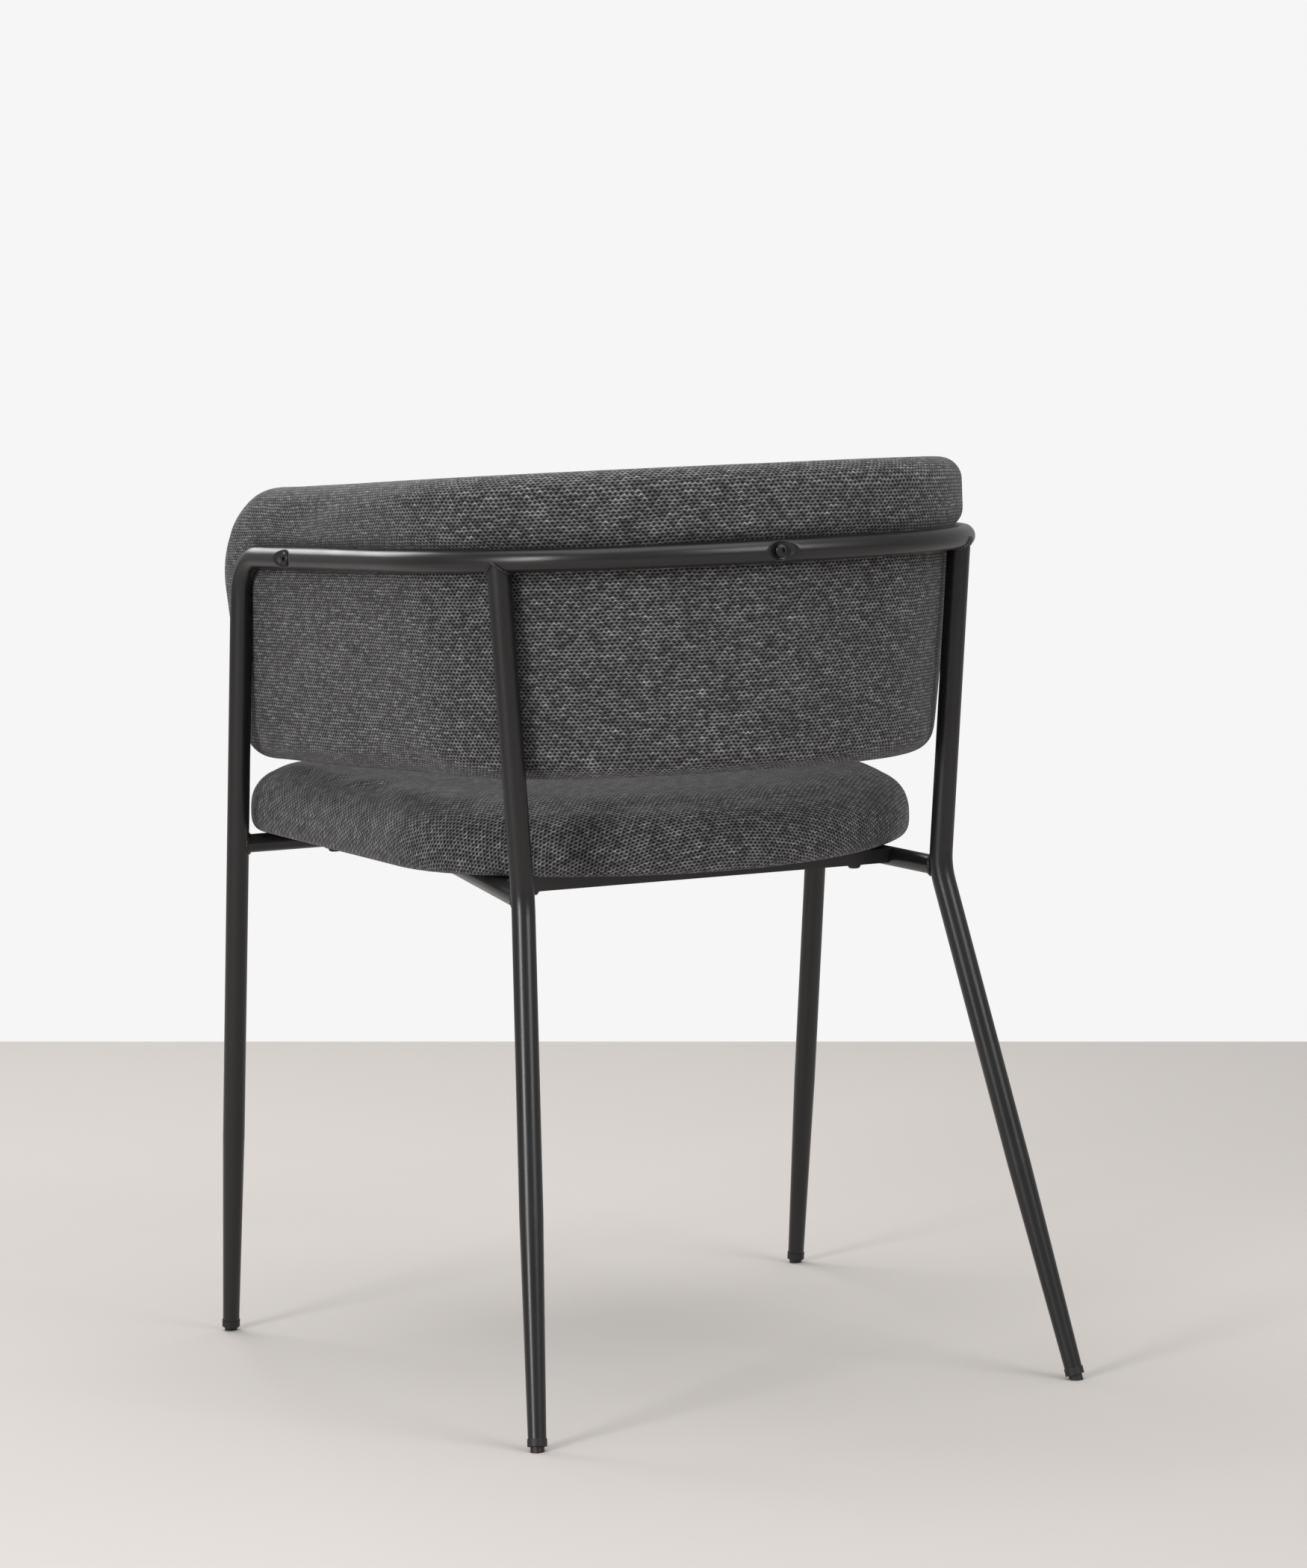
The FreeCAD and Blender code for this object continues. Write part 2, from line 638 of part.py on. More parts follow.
def long_edges(panel, thickness):
    """Edges along the rim of the band's two faces, without the seams inside a face."""
    found = []
    for edge in panel.Edges:
        start = edge.valueAt(edge.FirstParameter)
        end = edge.valueAt(edge.LastParameter)
        seam = abs(start.z - end.z) > 60 and start.y > 0
        if not seam and not runs_across(edge, thickness):
            found.append(edge)
    return found


def back_body(inset):
    return curved_panel(inset, BACK_THICKNESS - 2 * inset, inset, BACK_EDGE_ROUND - inset)


def back_shell_plain():
    return curved_panel(COVER_T + BACK_OUTER_FOAM, BACK_SHELL_T, BACK_SHELL_INSET, 0)


def back_fixings(diameter, start, length):
    """Round plugs on each back screw's axis, from a distance inside the pad's outer face."""
    plugs = []
    for place, inward in back_screw_places():
        base = place + inward * (FRAME_D / 2 + BACK_REST_GAP + start)
        plugs.append(Part.makeCylinder(diameter / 2, length, base, inward))
    return Part.makeCompound(plugs)


def back_cover():
    screw_holes = back_fixings(BOLT_HOLE_D, -OVERRUN, BACK_THICKNESS / 2)
    return back_body(0).cut(back_body(COVER_T)).cut(screw_holes)


def back_shell():
    return back_shell_plain().cut(back_fixings(INSERT_D, INSERT_START - OVERRUN, INSERT_L + 2 * OVERRUN))


def back_foam():
    foam = back_body(COVER_T).cut(back_shell_plain())
    screw_room = back_fixings(BOLT_HOLE_D, -OVERRUN, INSERT_START + OVERRUN)
    insert_room = back_fixings(INSERT_D, INSERT_START, INSERT_L + OVERRUN)
    return foam.cut(screw_room).cut(insert_room)


def back_inserts():
    plug = back_fixings(INSERT_D, INSERT_START, INSERT_L)
    bore = back_fixings(BOLT_D + 2 * THREAD_GAP, INSERT_START - OVERRUN, INSERT_L + 2 * OVERRUN)
    return plug.cut(bore)


def back_screws():
    screws = []
    for place, inward in back_screw_places():
        seat = place - inward * (FRAME_D / 2 - DIMPLE_DEPTH)
        length = FRAME_D - DIMPLE_DEPTH + BACK_REST_GAP + INSERT_START + INSERT_L - THREAD_SHORT
        screws.append(button_screw(seat, inward, SCREW_HEAD_D, SCREW_HEAD_H, length))
    return Part.makeCompound(screws)


def build():
    leg_front = front_leg()
    leg_rear = rear_leg()
    side = side_tube()
    glide_front = foot_glide(ARM_CORNER, FRONT_FOOT)
    glide_rear = foot_glide(REAR_KNEE, REAR_FOOT)
    return {
        "back_rail": back_rail(),
        "front_leg_left": leg_front,
        "front_leg_right": mirrored(leg_front),
        "rear_leg_left": leg_rear,
        "rear_leg_right": mirrored(leg_rear),
        "front_cross_tube": front_cross_tube(),
        "side_tube_left": side,
        "side_tube_right": mirrored(side),
        "rear_cross_bar": rear_cross_bar(),
        "glide_front_left": glide_front,
        "glide_front_right": mirrored(glide_front),
        "glide_rear_left": glide_rear,
        "glide_rear_right": mirrored(glide_rear),
        "seat_board": seat_board(),
        "seat_foam": seat_foam(),
        "seat_cover": seat_cover(),
        "seat_dust_cloth": seat_dust_cloth(),
        "seat_tee_nuts": tee_nuts(),
        "seat_bolts": seat_bolts(),
        "seat_washers": seat_washers(),
        "back_shell": back_shell(),
        "back_foam": back_foam(),
        "back_cover": back_cover(),
        "back_inserts": back_inserts(),
        "back_screws": back_screws(),
    }


def move_to_middle(parts):
    """Shift that brings the middle of the overall depth, from front glide to rear glide, to y = 0."""
    feet = Part.makeCompound([parts["glide_front_left"], parts["glide_rear_left"]])
    box = feet.optimalBoundingBox(False, False)
    return Vector(0, -(box.YMin + box.YMax) / 2, 0)


def main():
    os.makedirs("parts", exist_ok=True)
    parts = build()
    shift = move_to_middle(parts)
    print("moved by", shift)
    for name, shape in parts.items():
        shape.translate(shift)
        shape.exportStep(os.path.join("parts", name + ".step"))
        print(name, "valid" if shape.isValid() else "NOT VALID", len(shape.Solids), round(shape.Volume / 1000, 1))


main()
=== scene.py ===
import math

import bpy
import numpy as np
from mathutils import Matrix, Vector
from mathutils.geometry import convex_hull_2d


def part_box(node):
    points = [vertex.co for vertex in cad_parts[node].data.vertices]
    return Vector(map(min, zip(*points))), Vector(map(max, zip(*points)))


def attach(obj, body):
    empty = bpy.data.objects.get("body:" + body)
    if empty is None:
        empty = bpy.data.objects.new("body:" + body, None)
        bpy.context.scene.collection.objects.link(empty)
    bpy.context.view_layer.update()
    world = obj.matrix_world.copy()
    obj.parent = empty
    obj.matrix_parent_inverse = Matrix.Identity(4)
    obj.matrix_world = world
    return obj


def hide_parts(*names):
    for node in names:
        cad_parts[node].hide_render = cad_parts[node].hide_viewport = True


# Dining chair: the finish of its steel frame, its upholstered back pad and its seat pad.
# Metres, +Z up, in the frame of the chair: its front faces -Y and the sitter's left is +X.

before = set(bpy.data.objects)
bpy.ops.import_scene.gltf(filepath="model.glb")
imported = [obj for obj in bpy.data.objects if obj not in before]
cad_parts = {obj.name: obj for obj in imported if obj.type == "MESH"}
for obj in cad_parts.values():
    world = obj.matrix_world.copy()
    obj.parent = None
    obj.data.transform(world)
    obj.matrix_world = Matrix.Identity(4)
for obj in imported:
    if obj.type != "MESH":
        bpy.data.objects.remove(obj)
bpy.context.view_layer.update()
scene = bpy.context.scene
MM = 0.001
SAME = 1e-5                # two lengths nearer than this are the same

# Places that come from the chair's own nodes
RAIL_LOW, RAIL_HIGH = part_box("back_rail")
RAIL_Z = (RAIL_LOW.z + RAIL_HIGH.z) / 2
TUBE_R = (RAIL_HIGH.z - RAIL_LOW.z) / 2
RAIL_BACK_Y = RAIL_HIGH.y - TUBE_R        # axis of the rail in the middle of the back
BACK_LOW, BACK_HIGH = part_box("back_cover")

# Plan of the back rail: one wide arc, two corner arcs, two flared arms
BACK_ARC_R = 0.396
BACK_ARC_HALF = math.radians(12.5)
CORNER_ARC_R = 0.210
ARM_FLARE = math.radians(6.25)
ARM_LENGTH = 0.2          # straight part of an arm that the pad follows

# Joints of the frame
REAR_LEG_TOP = Vector((0.2037, 0.2075, 0.685))
REAR_KNEE = Vector((0.1861, 0.1899, 0.415))
FRONT_FOOT = Vector((0.2774, -0.3003, 0))
ARM_CORNER = Vector((0.2792, -0.1772, 0.685))
CROSS_Z = 0.437           # axis of the cross tube between the front legs
SIDE_FRONT_X = 0.133      # where a side tube meets it
UNDER_R = 0.008           # radius of the tubes under the seat
ARM_SCREW_Y = -0.0839
RAIL_WALL = 1.5 * MM
DIMPLE_FLOOR = 0.0044     # height of the dent's floor over the rail's axis
DIMPLE_FLOOR_R = 0.0066
DIMPLE_SLOPE = 0.78
DIMPLE_EDGE = 0.5 * MM    # softness of the dent's rim
WELD_BEAD_R = 1.7 * MM
KNEE_BEAD_R = 1.9 * MM

# Screws in the rail
HEAD_R = 5.4 * MM
HEAD_T = 3.0 * MM
HEAD_ROUND = 1.9 * MM
KEY_R = 2.3 * MM
KEY_DEPTH = 4 * MM
KEY_MIDDLE = 1.6 * MM
SHANK_R = 3 * MM
SHANK_LENGTH = 12 * MM
SHANK_MIDDLE = -7 * MM

# Back pad
PAD_T = 0.044
PAD_INSET = 0.002         # the pad starts this much smaller and swells
PAD_CELLS = (200, 38, 6)  # along, up and through the pad
PAD_PRESSURE = 3.5
PAD_SWELL = 0.006
PAD_LEAN = 0.11           # how fast the outer face moves inwards, going down
PAD_REST_GAP = 0.0004
PAD_TOP_DROP = 0.026      # how fast the top edge falls towards the front
TOP_DROP_FROM = -0.05     # over the rail; the fall comes in over the next TOP_DROP_RISE
TOP_DROP_RISE = 0.1
PAD_TOP_CORNER_R = 0.095
PAD_BOTTOM_CORNER_R = 0.036
PAD_EDGE_R = 0.019
ON_OUTLINE = 0.01 * MM    # nearer to the outline than this, a point is on it
PAD_TOP_BULGE = 0.0075    # how far the pad stands out over the rail
BULGE_RISE = 0.022        # height over the rail's axis at which it is whole
BULGE_DEPTH = 0.04        # depth in the pad at which nothing is left of it
BULGE_FADE = 0.03
PAD_TOP_ROLL = 0.6        # share of that bulge which is gone again at the top edge
ROLL_HEIGHT = 0.03
ARM_LEAN_SHARE = 0.55     # the pad stands more upright at its front ends than at the back
END_TUCK = 0.004          # the cover is drawn in at the two front ends

# Seat pad
SEAT_TILT = math.radians(3.06)
SEAT_PIVOT = Vector((0, 0.1899, 0.423))
SEAT_TOP_ROUND = 0.030
SEAT_BOTTOM_ROUND = 0.011
SEAT_INSET = 0.001
SEAT_SPACING = 0.006      # between the points of its outline
SEAT_VOXEL = 0.006
SEAT_PRESSURE = 4.5
SEAT_SWELL = 0.008
SEAT_HELD = 0.001         # the cloth doesn't swell below this height over the base
SEAT_HELD_FADE = 0.008

# Studio, from the floor's far edge to the boxes of light
CAMERA_PLACE = (1.63178, 3.67089, 0.81773)
CAMERA_YAW, CAMERA_PITCH, CAMERA_ROLL = 24.17, 4.76, -2.08
CAMERA_LENS = 109.97
FLOOR_FAR_LEFT = Vector((-1.42362, -1.24048, 0))
FLOOR_FAR_RIGHT = Vector((-0.10936, -2.30694, 0))
FLOOR_HALF_WIDTH = 9
FLOOR_DEPTH = 14
MIDDLE = (0, 0, 0.5)
# name, place, what it points at, size, watts
SOFTBOXES = (("key_softbox", (-1.2, 3.0, 2.2), MIDDLE, (1.4, 1.8), 40),
             ("side_softbox", (3.2, 1.6, 1.6), MIDDLE, (0.9, 1.8), 66),
             ("front_softbox", (0.6, -2.6, 2.4), MIDDLE, (2.0, 1.4), 42),
             ("top_softbox", (0.0, 0.4, 3.2), (0, 0, 0), (2.8, 2.8), 40))


# ---------------------------------------------------------------- helpers

def linear(hex_colour):
    """An sRGB hex colour as linear RGBA."""
    parts = [int(hex_colour[i:i + 2], 16) / 255 for i in (1, 3, 5)]
    return tuple(c / 12.92 if c <= 0.04045 else ((c + 0.055) / 1.055) ** 2.4 for c in parts) + (1.0,)


def add(tree, kind, inputs=None, **settings):
    """Adds a node. An input is a value, or another node's output to link."""
    node = tree.nodes.new(kind)
    for name, value in settings.items():
        setattr(node, name, value)
    for name, value in (inputs or {}).items():
        if isinstance(value, bpy.types.NodeSocket):
            tree.links.new(value, node.inputs[name])
        else:
            node.inputs[name].default_value = value
    return node


def new_material(name):
    """An empty node material and its Principled shader."""
    material = bpy.data.materials.new(name)
    material.use_nodes = True
    return material, material.node_tree, material.node_tree.nodes["Principled BSDF"]


def dress(piece, material):
    """Gives a piece one material."""
    piece.data.materials.clear()
    piece.data.materials.append(material)


def deselect():
    """Leaves nothing selected."""
    bpy.ops.object.select_all(action="DESELECT")


def only(piece):
    """Selects one piece and makes it active."""
    deselect()
    piece.select_set(True)
    bpy.context.view_layer.objects.active = piece


def settle(piece):
    """Puts a piece's place into its mesh."""
    only(piece)
    bpy.ops.object.transform_apply(location=True, rotation=True, scale=True)


def points_of(piece):
    """A piece's points, one row each."""
    co = np.zeros(len(piece.data.vertices) * 3, np.float32)
    piece.data.vertices.foreach_get("co", co)
    return co.reshape(-1, 3).astype(float)


def set_points(piece, points):
    """Moves a piece's points."""
    piece.data.vertices.foreach_set("co", points.astype(np.float32).ravel())
    piece.data.update()


def join_frame(piece):
    """Ties a piece to the chair's one body."""
    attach(piece, "root")


def face_outwards(piece):
    """Turns all faces of a closed piece outwards."""
    only(piece)
    bpy.ops.object.mode_set(mode="EDIT")
    bpy.ops.mesh.select_all(action="SELECT")
    bpy.ops.mesh.normals_make_consistent(inside=False)
    bpy.ops.object.mode_set(mode="OBJECT")


def smooth_once(piece):
    """Applies one level of subdivision surface."""
    bpy.ops.object.modifier_add(type="SUBSURF")
    piece.modifiers[-1].levels = piece.modifiers[-1].render_levels = 1
    bpy.ops.object.modifier_apply(modifier=piece.modifiers[-1].name)


def join(parts, name):
    """Joins parts into the first of them, under a new name."""
    deselect()
    for part in parts:
        part.select_set(True)
    bpy.context.view_layer.objects.active = parts[0]
    bpy.ops.object.join()
    parts[0].name = name
    return parts[0]


def ease(x):
    """Smooth step from 0 to 1."""
    x = np.clip(x, 0, 1)
    return x * x * (3 - 2 * x)


# ---------------------------------------------------------------- materials

def powder_coated_steel():
    """Satin black polyester powder coat on steel tube: a fine orange peel breaks up soft highlights."""
    material, tree, shader = new_material("powder_coated_steel")
    place = add(tree, "ShaderNodeTexCoord").outputs["Object"]
    peel = add(tree, "ShaderNodeTexNoise", {"Vector": place, "Scale": 1 / (1.6 * MM), "Detail": 2.0})
    drift = add(tree, "ShaderNodeTexNoise", {"Vector": place, "Scale": 1 / (60 * MM), "Detail": 3.0})
    rough = add(tree, "ShaderNodeMapRange", {"Value": drift.outputs["Fac"], "From Min": 0.3, "From Max": 0.7,
                                             "To Min": 0.26, "To Max": 0.34})
    tone = add(tree, "ShaderNodeMix", {"Factor": drift.outputs["Fac"], "A": linear("#121112"),
                                       "B": linear("#171617")}, data_type="RGBA")
    bump = add(tree, "ShaderNodeBump", {"Height": peel.outputs["Fac"], "Strength": 0.35,
                                        "Distance": 0.06 * MM})
    tree.links.new(tone.outputs["Result"], shader.inputs["Base Color"])
    tree.links.new(rough.outputs["Result"], shader.inputs["Roughness"])
    tree.links.new(bump.outputs["Normal"], shader.inputs["Normal"])
    return material


def chenille_weave():
    """Heather grey upholstery: plump two-tone yarns in waves, with painted shade darkening the small hole
    under each wave.
    """
    material, tree, shader = new_material("chenille_upholstery")
    stitch = 4.2 * MM       # along a row
    course = 2.7 * MM       # from row to row
    ride = 0.2              # share of a course by which a yarn swings up and down
    hole, crest = 0.08, 0.94    # painted shade: how bright the yarn's colour is left in a hole and on a crest
    uv = add(tree, "ShaderNodeUVMap", uv_map="weave").outputs["UV"]
    wander = add(tree, "ShaderNodeTexNoise", {"Vector": uv, "Scale": 1 / (11 * MM), "Detail": 1.0})
    centred = add(tree, "ShaderNodeVectorMath", {0: wander.outputs["Color"], 1: (0.5, 0.5, 0.5)},
                  operation="SUBTRACT")
    shift = add(tree, "ShaderNodeVectorMath", {0: centred.outputs["Vector"], "Scale": 1.8 * MM},
                operation="SCALE")
    laid = add(tree, "ShaderNodeVectorMath", {0: uv, 1: shift.outputs["Vector"]}, operation="ADD")
    across = add(tree, "ShaderNodeSeparateXYZ", {0: laid.outputs["Vector"]})
    row = add(tree, "ShaderNodeMath", {0: across.outputs["Y"], 1: 1 / course}, operation="MULTIPLY")
    row_number = add(tree, "ShaderNodeMath", {0: row.outputs[0]}, operation="FLOOR")
    in_row = add(tree, "ShaderNodeMath", {0: row.outputs[0]}, operation="FRACT")
    odd = add(tree, "ShaderNodeMath", {0: row_number.outputs[0], 1: 1.0}, operation="PINGPONG")
    stagger = add(tree, "ShaderNodeMath", {0: odd.outputs[0], 1: 0.5}, operation="MULTIPLY")
    along = add(tree, "ShaderNodeMath", {0: across.outputs["X"], 1: 1 / stitch, 2: stagger.outputs[0]},
                operation="MULTIPLY_ADD")
    stitch_number = add(tree, "ShaderNodeMath", {0: along.outputs[0]}, operation="FLOOR")
    in_stitch = add(tree, "ShaderNodeMath", {0: along.outputs[0]}, operation="FRACT")
    turn = add(tree, "ShaderNodeMath", {0: in_stitch.outputs[0], 1: 2 * math.pi}, operation="MULTIPLY")
    wave = add(tree, "ShaderNodeMath", {0: turn.outputs[0]}, operation="COSINE")
    # the yarn is highest in the middle of a stitch, where the cosine is -1
    middle = add(tree, "ShaderNodeMath", {0: wave.outputs[0], 1: -ride, 2: 0.5}, operation="MULTIPLY_ADD")
    gap = add(tree, "ShaderNodeMath", {0: in_row.outputs[0], 1: middle.outputs[0]}, operation="SUBTRACT")
    reach = add(tree, "ShaderNodeMath", {0: gap.outputs[0]}, operation="ABSOLUTE")
    yarn = add(tree, "ShaderNodeMapRange", {"Value": reach.outputs[0], "From Min": 0.08, "From Max": 0.4,
                                            "To Min": 1.0, "To Max": 0.0}, interpolation_type="SMOOTHSTEP")
    crown = add(tree, "ShaderNodeMapRange", {"Value": wave.outputs[0], "From Min": -1.0, "From Max": 1.0,
                                             "To Min": 1.0, "To Max": 0.6})
    height = add(tree, "ShaderNodeMath", {0: yarn.outputs["Result"], 1: crown.outputs["Result"]},
                 operation="MULTIPLY")
    # each stitch has its own tone, and a yarn keeps a drift of tone over several stitches
    stitch_id = add(tree, "ShaderNodeCombineXYZ", {"X": stitch_number.outputs[0], "Y": row_number.outputs[0]})
    own = add(tree, "ShaderNodeTexWhiteNoise", {"Vector": stitch_id.outputs[0]}, noise_dimensions="3D")
    slow = add(tree, "ShaderNodeMath", {0: along.outputs[0], 1: 0.4}, operation="MULTIPLY")
    run = add(tree, "ShaderNodeCombineXYZ", {"X": slow.outputs[0], "Y": row_number.outputs[0]})
    run_noise = add(tree, "ShaderNodeTexNoise", {"Vector": run.outputs[0], "Scale": 1.1, "Detail": 3.0})
    patch = add(tree, "ShaderNodeTexNoise", {"Vector": uv, "Scale": 1 / (28 * MM), "Detail": 3.0})
    fibre = add(tree, "ShaderNodeTexNoise", {"Vector": laid.outputs["Vector"], "Scale": 1 / (0.5 * MM),
                                             "Detail": 2.0})
    mixed = add(tree, "ShaderNodeMath", {0: own.outputs["Value"], 1: 0.3, 2: run_noise.outputs["Fac"]},
                operation="MULTIPLY_ADD")
    mixed_patch = add(tree, "ShaderNodeMath", {0: patch.outputs["Fac"], 1: 0.25, 2: mixed.outputs[0]},
                      operation="MULTIPLY_ADD")
    mixed_fibre = add(tree, "ShaderNodeMath", {0: fibre.outputs["Fac"], 1: 0.6, 2: mixed_patch.outputs[0]},
                      operation="MULTIPLY_ADD")
    tone = add(tree, "ShaderNodeMapRange", {"Value": mixed_fibre.outputs[0], "From Min": 0.62,
                                            "From Max": 1.55})
    ramp = add(tree, "ShaderNodeValToRGB", {"Fac": tone.outputs["Result"]})
    stops = ramp.color_ramp.elements
    stops[0].position, stops[0].color = 0.0, linear("#3d3c3e")
    stops[1].position, stops[1].color = 1.0, linear("#c2c1c2")
    for position, colour in ((0.35, "#5f5e60"), (0.62, "#858486"), (0.8, "#a09fa1")):
        stop = stops.new(position)
        stop.color = linear(colour)
    # painted shade: the yarn's colour is darkened with its height, most in the holes between waves
    painted_hole_shade = add(tree, "ShaderNodeMapRange", {"Value": height.outputs[0], "To Min": hole, "To Max": crest})
    colour = add(tree, "ShaderNodeVectorMath", {0: ramp.outputs["Color"], "Scale": painted_hole_shade.outputs["Result"]},
                 operation="SCALE")
    relief = add(tree, "ShaderNodeMath", {0: fibre.outputs["Fac"], 1: 0.25, 2: height.outputs[0]},
                 operation="MULTIPLY_ADD")
    bump = add(tree, "ShaderNodeBump", {"Height": relief.outputs[0], "Strength": 0.6, "Distance": 0.9 * MM})
    tree.links.new(colour.outputs["Vector"], shader.inputs["Base Color"])
    tree.links.new(bump.outputs["Normal"], shader.inputs["Normal"])
    shader.inputs["Roughness"].default_value = 0.92
    shader.inputs["Specular IOR Level"].default_value = 0.2
    shader.inputs["Sheen Weight"].default_value = 0.25
    shader.inputs["Sheen Roughness"].default_value = 0.45
    shader.inputs["Sheen Tint"].default_value = linear("#c9c8ca")
    return material


def moulded_plastic():
    """Injection-moulded polypropylene: a fine spark-eroded grain and a dull sheen."""
    material, tree, shader = new_material("polypropylene_glide")
    place = add(tree, "ShaderNodeTexCoord").outputs["Object"]
    grain = add(tree, "ShaderNodeTexNoise", {"Vector": place, "Scale": 1 / (0.5 * MM), "Detail": 3.0})
    rough = add(tree, "ShaderNodeMapRange", {"Value": grain.outputs["Fac"], "To Min": 0.42, "To Max": 0.62})
    bump = add(tree, "ShaderNodeBump", {"Height": grain.outputs["Fac"], "Strength": 0.3,
                                        "Distance": 0.05 * MM})
    shader.inputs["Base Color"].default_value = linear("#141414")
    tree.links.new(rough.outputs["Result"], shader.inputs["Roughness"])
    tree.links.new(bump.outputs["Normal"], shader.inputs["Normal"])
    return material


def spun_bonded_cloth():
    """Black non-woven under-cloth: matted fibres with a grid of small heat-bonded dots."""
    material, tree, shader = new_material("spun_bonded_cloth")
    place = add(tree, "ShaderNodeTexCoord").outputs["Object"]
    fibres = add(tree, "ShaderNodeTexNoise", {"Vector": place, "Scale": 1 / (1.2 * MM), "Detail": 4.0,
                                              "Distortion": 2.5})
    dots = add(tree, "ShaderNodeTexVoronoi", {"Vector": place, "Scale": 1 / (2.4 * MM), "Randomness": 0.1})
    pressed = add(tree, "ShaderNodeMapRange", {"Value": dots.outputs["Distance"], "From Min": 0.12,
                                               "From Max": 0.3})
    height = add(tree, "ShaderNodeMath", {0: fibres.outputs["Fac"], 1: pressed.outputs["Result"]},
                 operation="MULTIPLY")
    tone = add(tree, "ShaderNodeMix", {"Factor": height.outputs[0], "A": linear("#151515"),
                                       "B": linear("#2b2b2c")}, data_type="RGBA")
    bump = add(tree, "ShaderNodeBump", {"Height": height.outputs[0], "Strength": 0.5, "Distance": 0.2 * MM})
    tree.links.new(tone.outputs["Result"], shader.inputs["Base Color"])
    tree.links.new(bump.outputs["Normal"], shader.inputs["Normal"])
    shader.inputs["Roughness"].default_value = 0.85
    return material


def plated_steel(name, colour, roughness):
    """Small hardware: zinc-plated or blackened steel with fine tumbling marks."""
    material, tree, shader = new_material(name)
    place = add(tree, "ShaderNodeTexCoord").outputs["Object"]
    marks = add(tree, "ShaderNodeTexNoise", {"Vector": place, "Scale": 1 / (0.7 * MM), "Detail": 4.0})
    rough = add(tree, "ShaderNodeMapRange", {"Value": marks.outputs["Fac"], "To Min": roughness - 0.08,
                                             "To Max": roughness + 0.1})
    bump = add(tree, "ShaderNodeBump", {"Height": marks.outputs["Fac"], "Strength": 0.2,
                                        "Distance": 0.03 * MM})
    shader.inputs["Base Color"].default_value = linear(colour)
    shader.inputs["Metallic"].default_value = 0.9
    tree.links.new(rough.outputs["Result"], shader.inputs["Roughness"])
    tree.links.new(bump.outputs["Normal"], shader.inputs["Normal"])
    return material


def beech_plywood():
    """Rotary-cut plywood: pale veneer with long soft grain."""
    material, tree, shader = new_material("beech_plywood")
    place = add(tree, "ShaderNodeTexCoord").outputs["Object"]
    drawn = add(tree, "ShaderNodeMapping", {"Vector": place, "Scale": (3.0, 0.25, 3.0)})
    grain = add(tree, "ShaderNodeTexNoise", {"Vector": drawn.outputs[0], "Scale": 1 / (12 * MM),
                                             "Detail": 6.0, "Distortion": 0.6})
    tone = add(tree, "ShaderNodeMix", {"Factor": grain.outputs["Fac"], "A": linear("#b58a5c"),
                                       "B": linear("#dcbc8f")}, data_type="RGBA")
    bump = add(tree, "ShaderNodeBump", {"Height": grain.outputs["Fac"], "Strength": 0.2,
                                        "Distance": 0.1 * MM})
    tree.links.new(tone.outputs["Result"], shader.inputs["Base Color"])
    tree.links.new(bump.outputs["Normal"], shader.inputs["Normal"])
    shader.inputs["Roughness"].default_value = 0.6
    return material


def pale_floor():
    """Matt painted studio floor."""
    material, tree, shader = new_material("pale_studio_floor")
    place = add(tree, "ShaderNodeTexCoord").outputs["Object"]
    cloud = add(tree, "ShaderNodeTexNoise", {"Vector": place, "Scale": 1.5, "Detail": 3.0})
    tone = add(tree, "ShaderNodeMix", {"Factor": cloud.outputs["Fac"], "A": linear("#c8c3bf"),
                                       "B": linear("#cdc8c4")}, data_type="RGBA")
    tree.links.new(tone.outputs["Result"], shader.inputs["Base Color"])
    shader.inputs["Roughness"].default_value = 0.7
    shader.inputs["Specular IOR Level"].default_value = 0.2
    return material


# ---------------------------------------------------------------- plan of the rail

def plan_runs(offset):
    """Lengths of the half back arc, the corner arc and the arm, on a line set inwards by offset."""
    return (BACK_ARC_R - offset) * BACK_ARC_HALF, (CORNER_ARC_R - offset) * CORNER_TURN, ARM_LENGTH


BACK_CENTRE = Vector((0, RAIL_BACK_Y - BACK_ARC_R))
CORNER_TURN = math.radians(90) - ARM_FLARE - BACK_ARC_HALF
CORNER_CENTRE = BACK_CENTRE + Vector((math.sin(BACK_ARC_HALF), math.cos(BACK_ARC_HALF))) * (
    BACK_ARC_R - CORNER_ARC_R)


def on_plan(s, offset, measured_at=0.0):
    """Plan points and outward normals at lengths s from the middle of the back, set inwards by offset.
    The lengths are measured on the line that is set inwards by measured_at."""
    side, run = np.sign(s), np.abs(s)
    half_back, corner, _ = plan_runs(measured_at)
    back_angle = run / (BACK_ARC_R - measured_at)
    corner_angle = BACK_ARC_HALF + (run - half_back) / (CORNER_ARC_R - measured_at)
    end_angle = BACK_ARC_HALF + CORNER_TURN
    beyond = np.maximum(run - half_back - corner, 0)
    angle = np.where(run < half_back, back_angle, np.minimum(corner_angle, end_angle))
    radius = np.where(run < half_back, BACK_ARC_R, CORNER_ARC_R) - offset
    centre_x = np.where(run < half_back, BACK_CENTRE.x, CORNER_CENTRE.x)
    centre_y = np.where(run < half_back, BACK_CENTRE.y, CORNER_CENTRE.y)
    nx, ny = np.sin(angle), np.cos(angle)
    x = centre_x + nx * radius + ny * beyond
    y = centre_y + ny * radius - nx * beyond
    return side * x, y, side * nx, ny


# ---------------------------------------------------------------- back pad

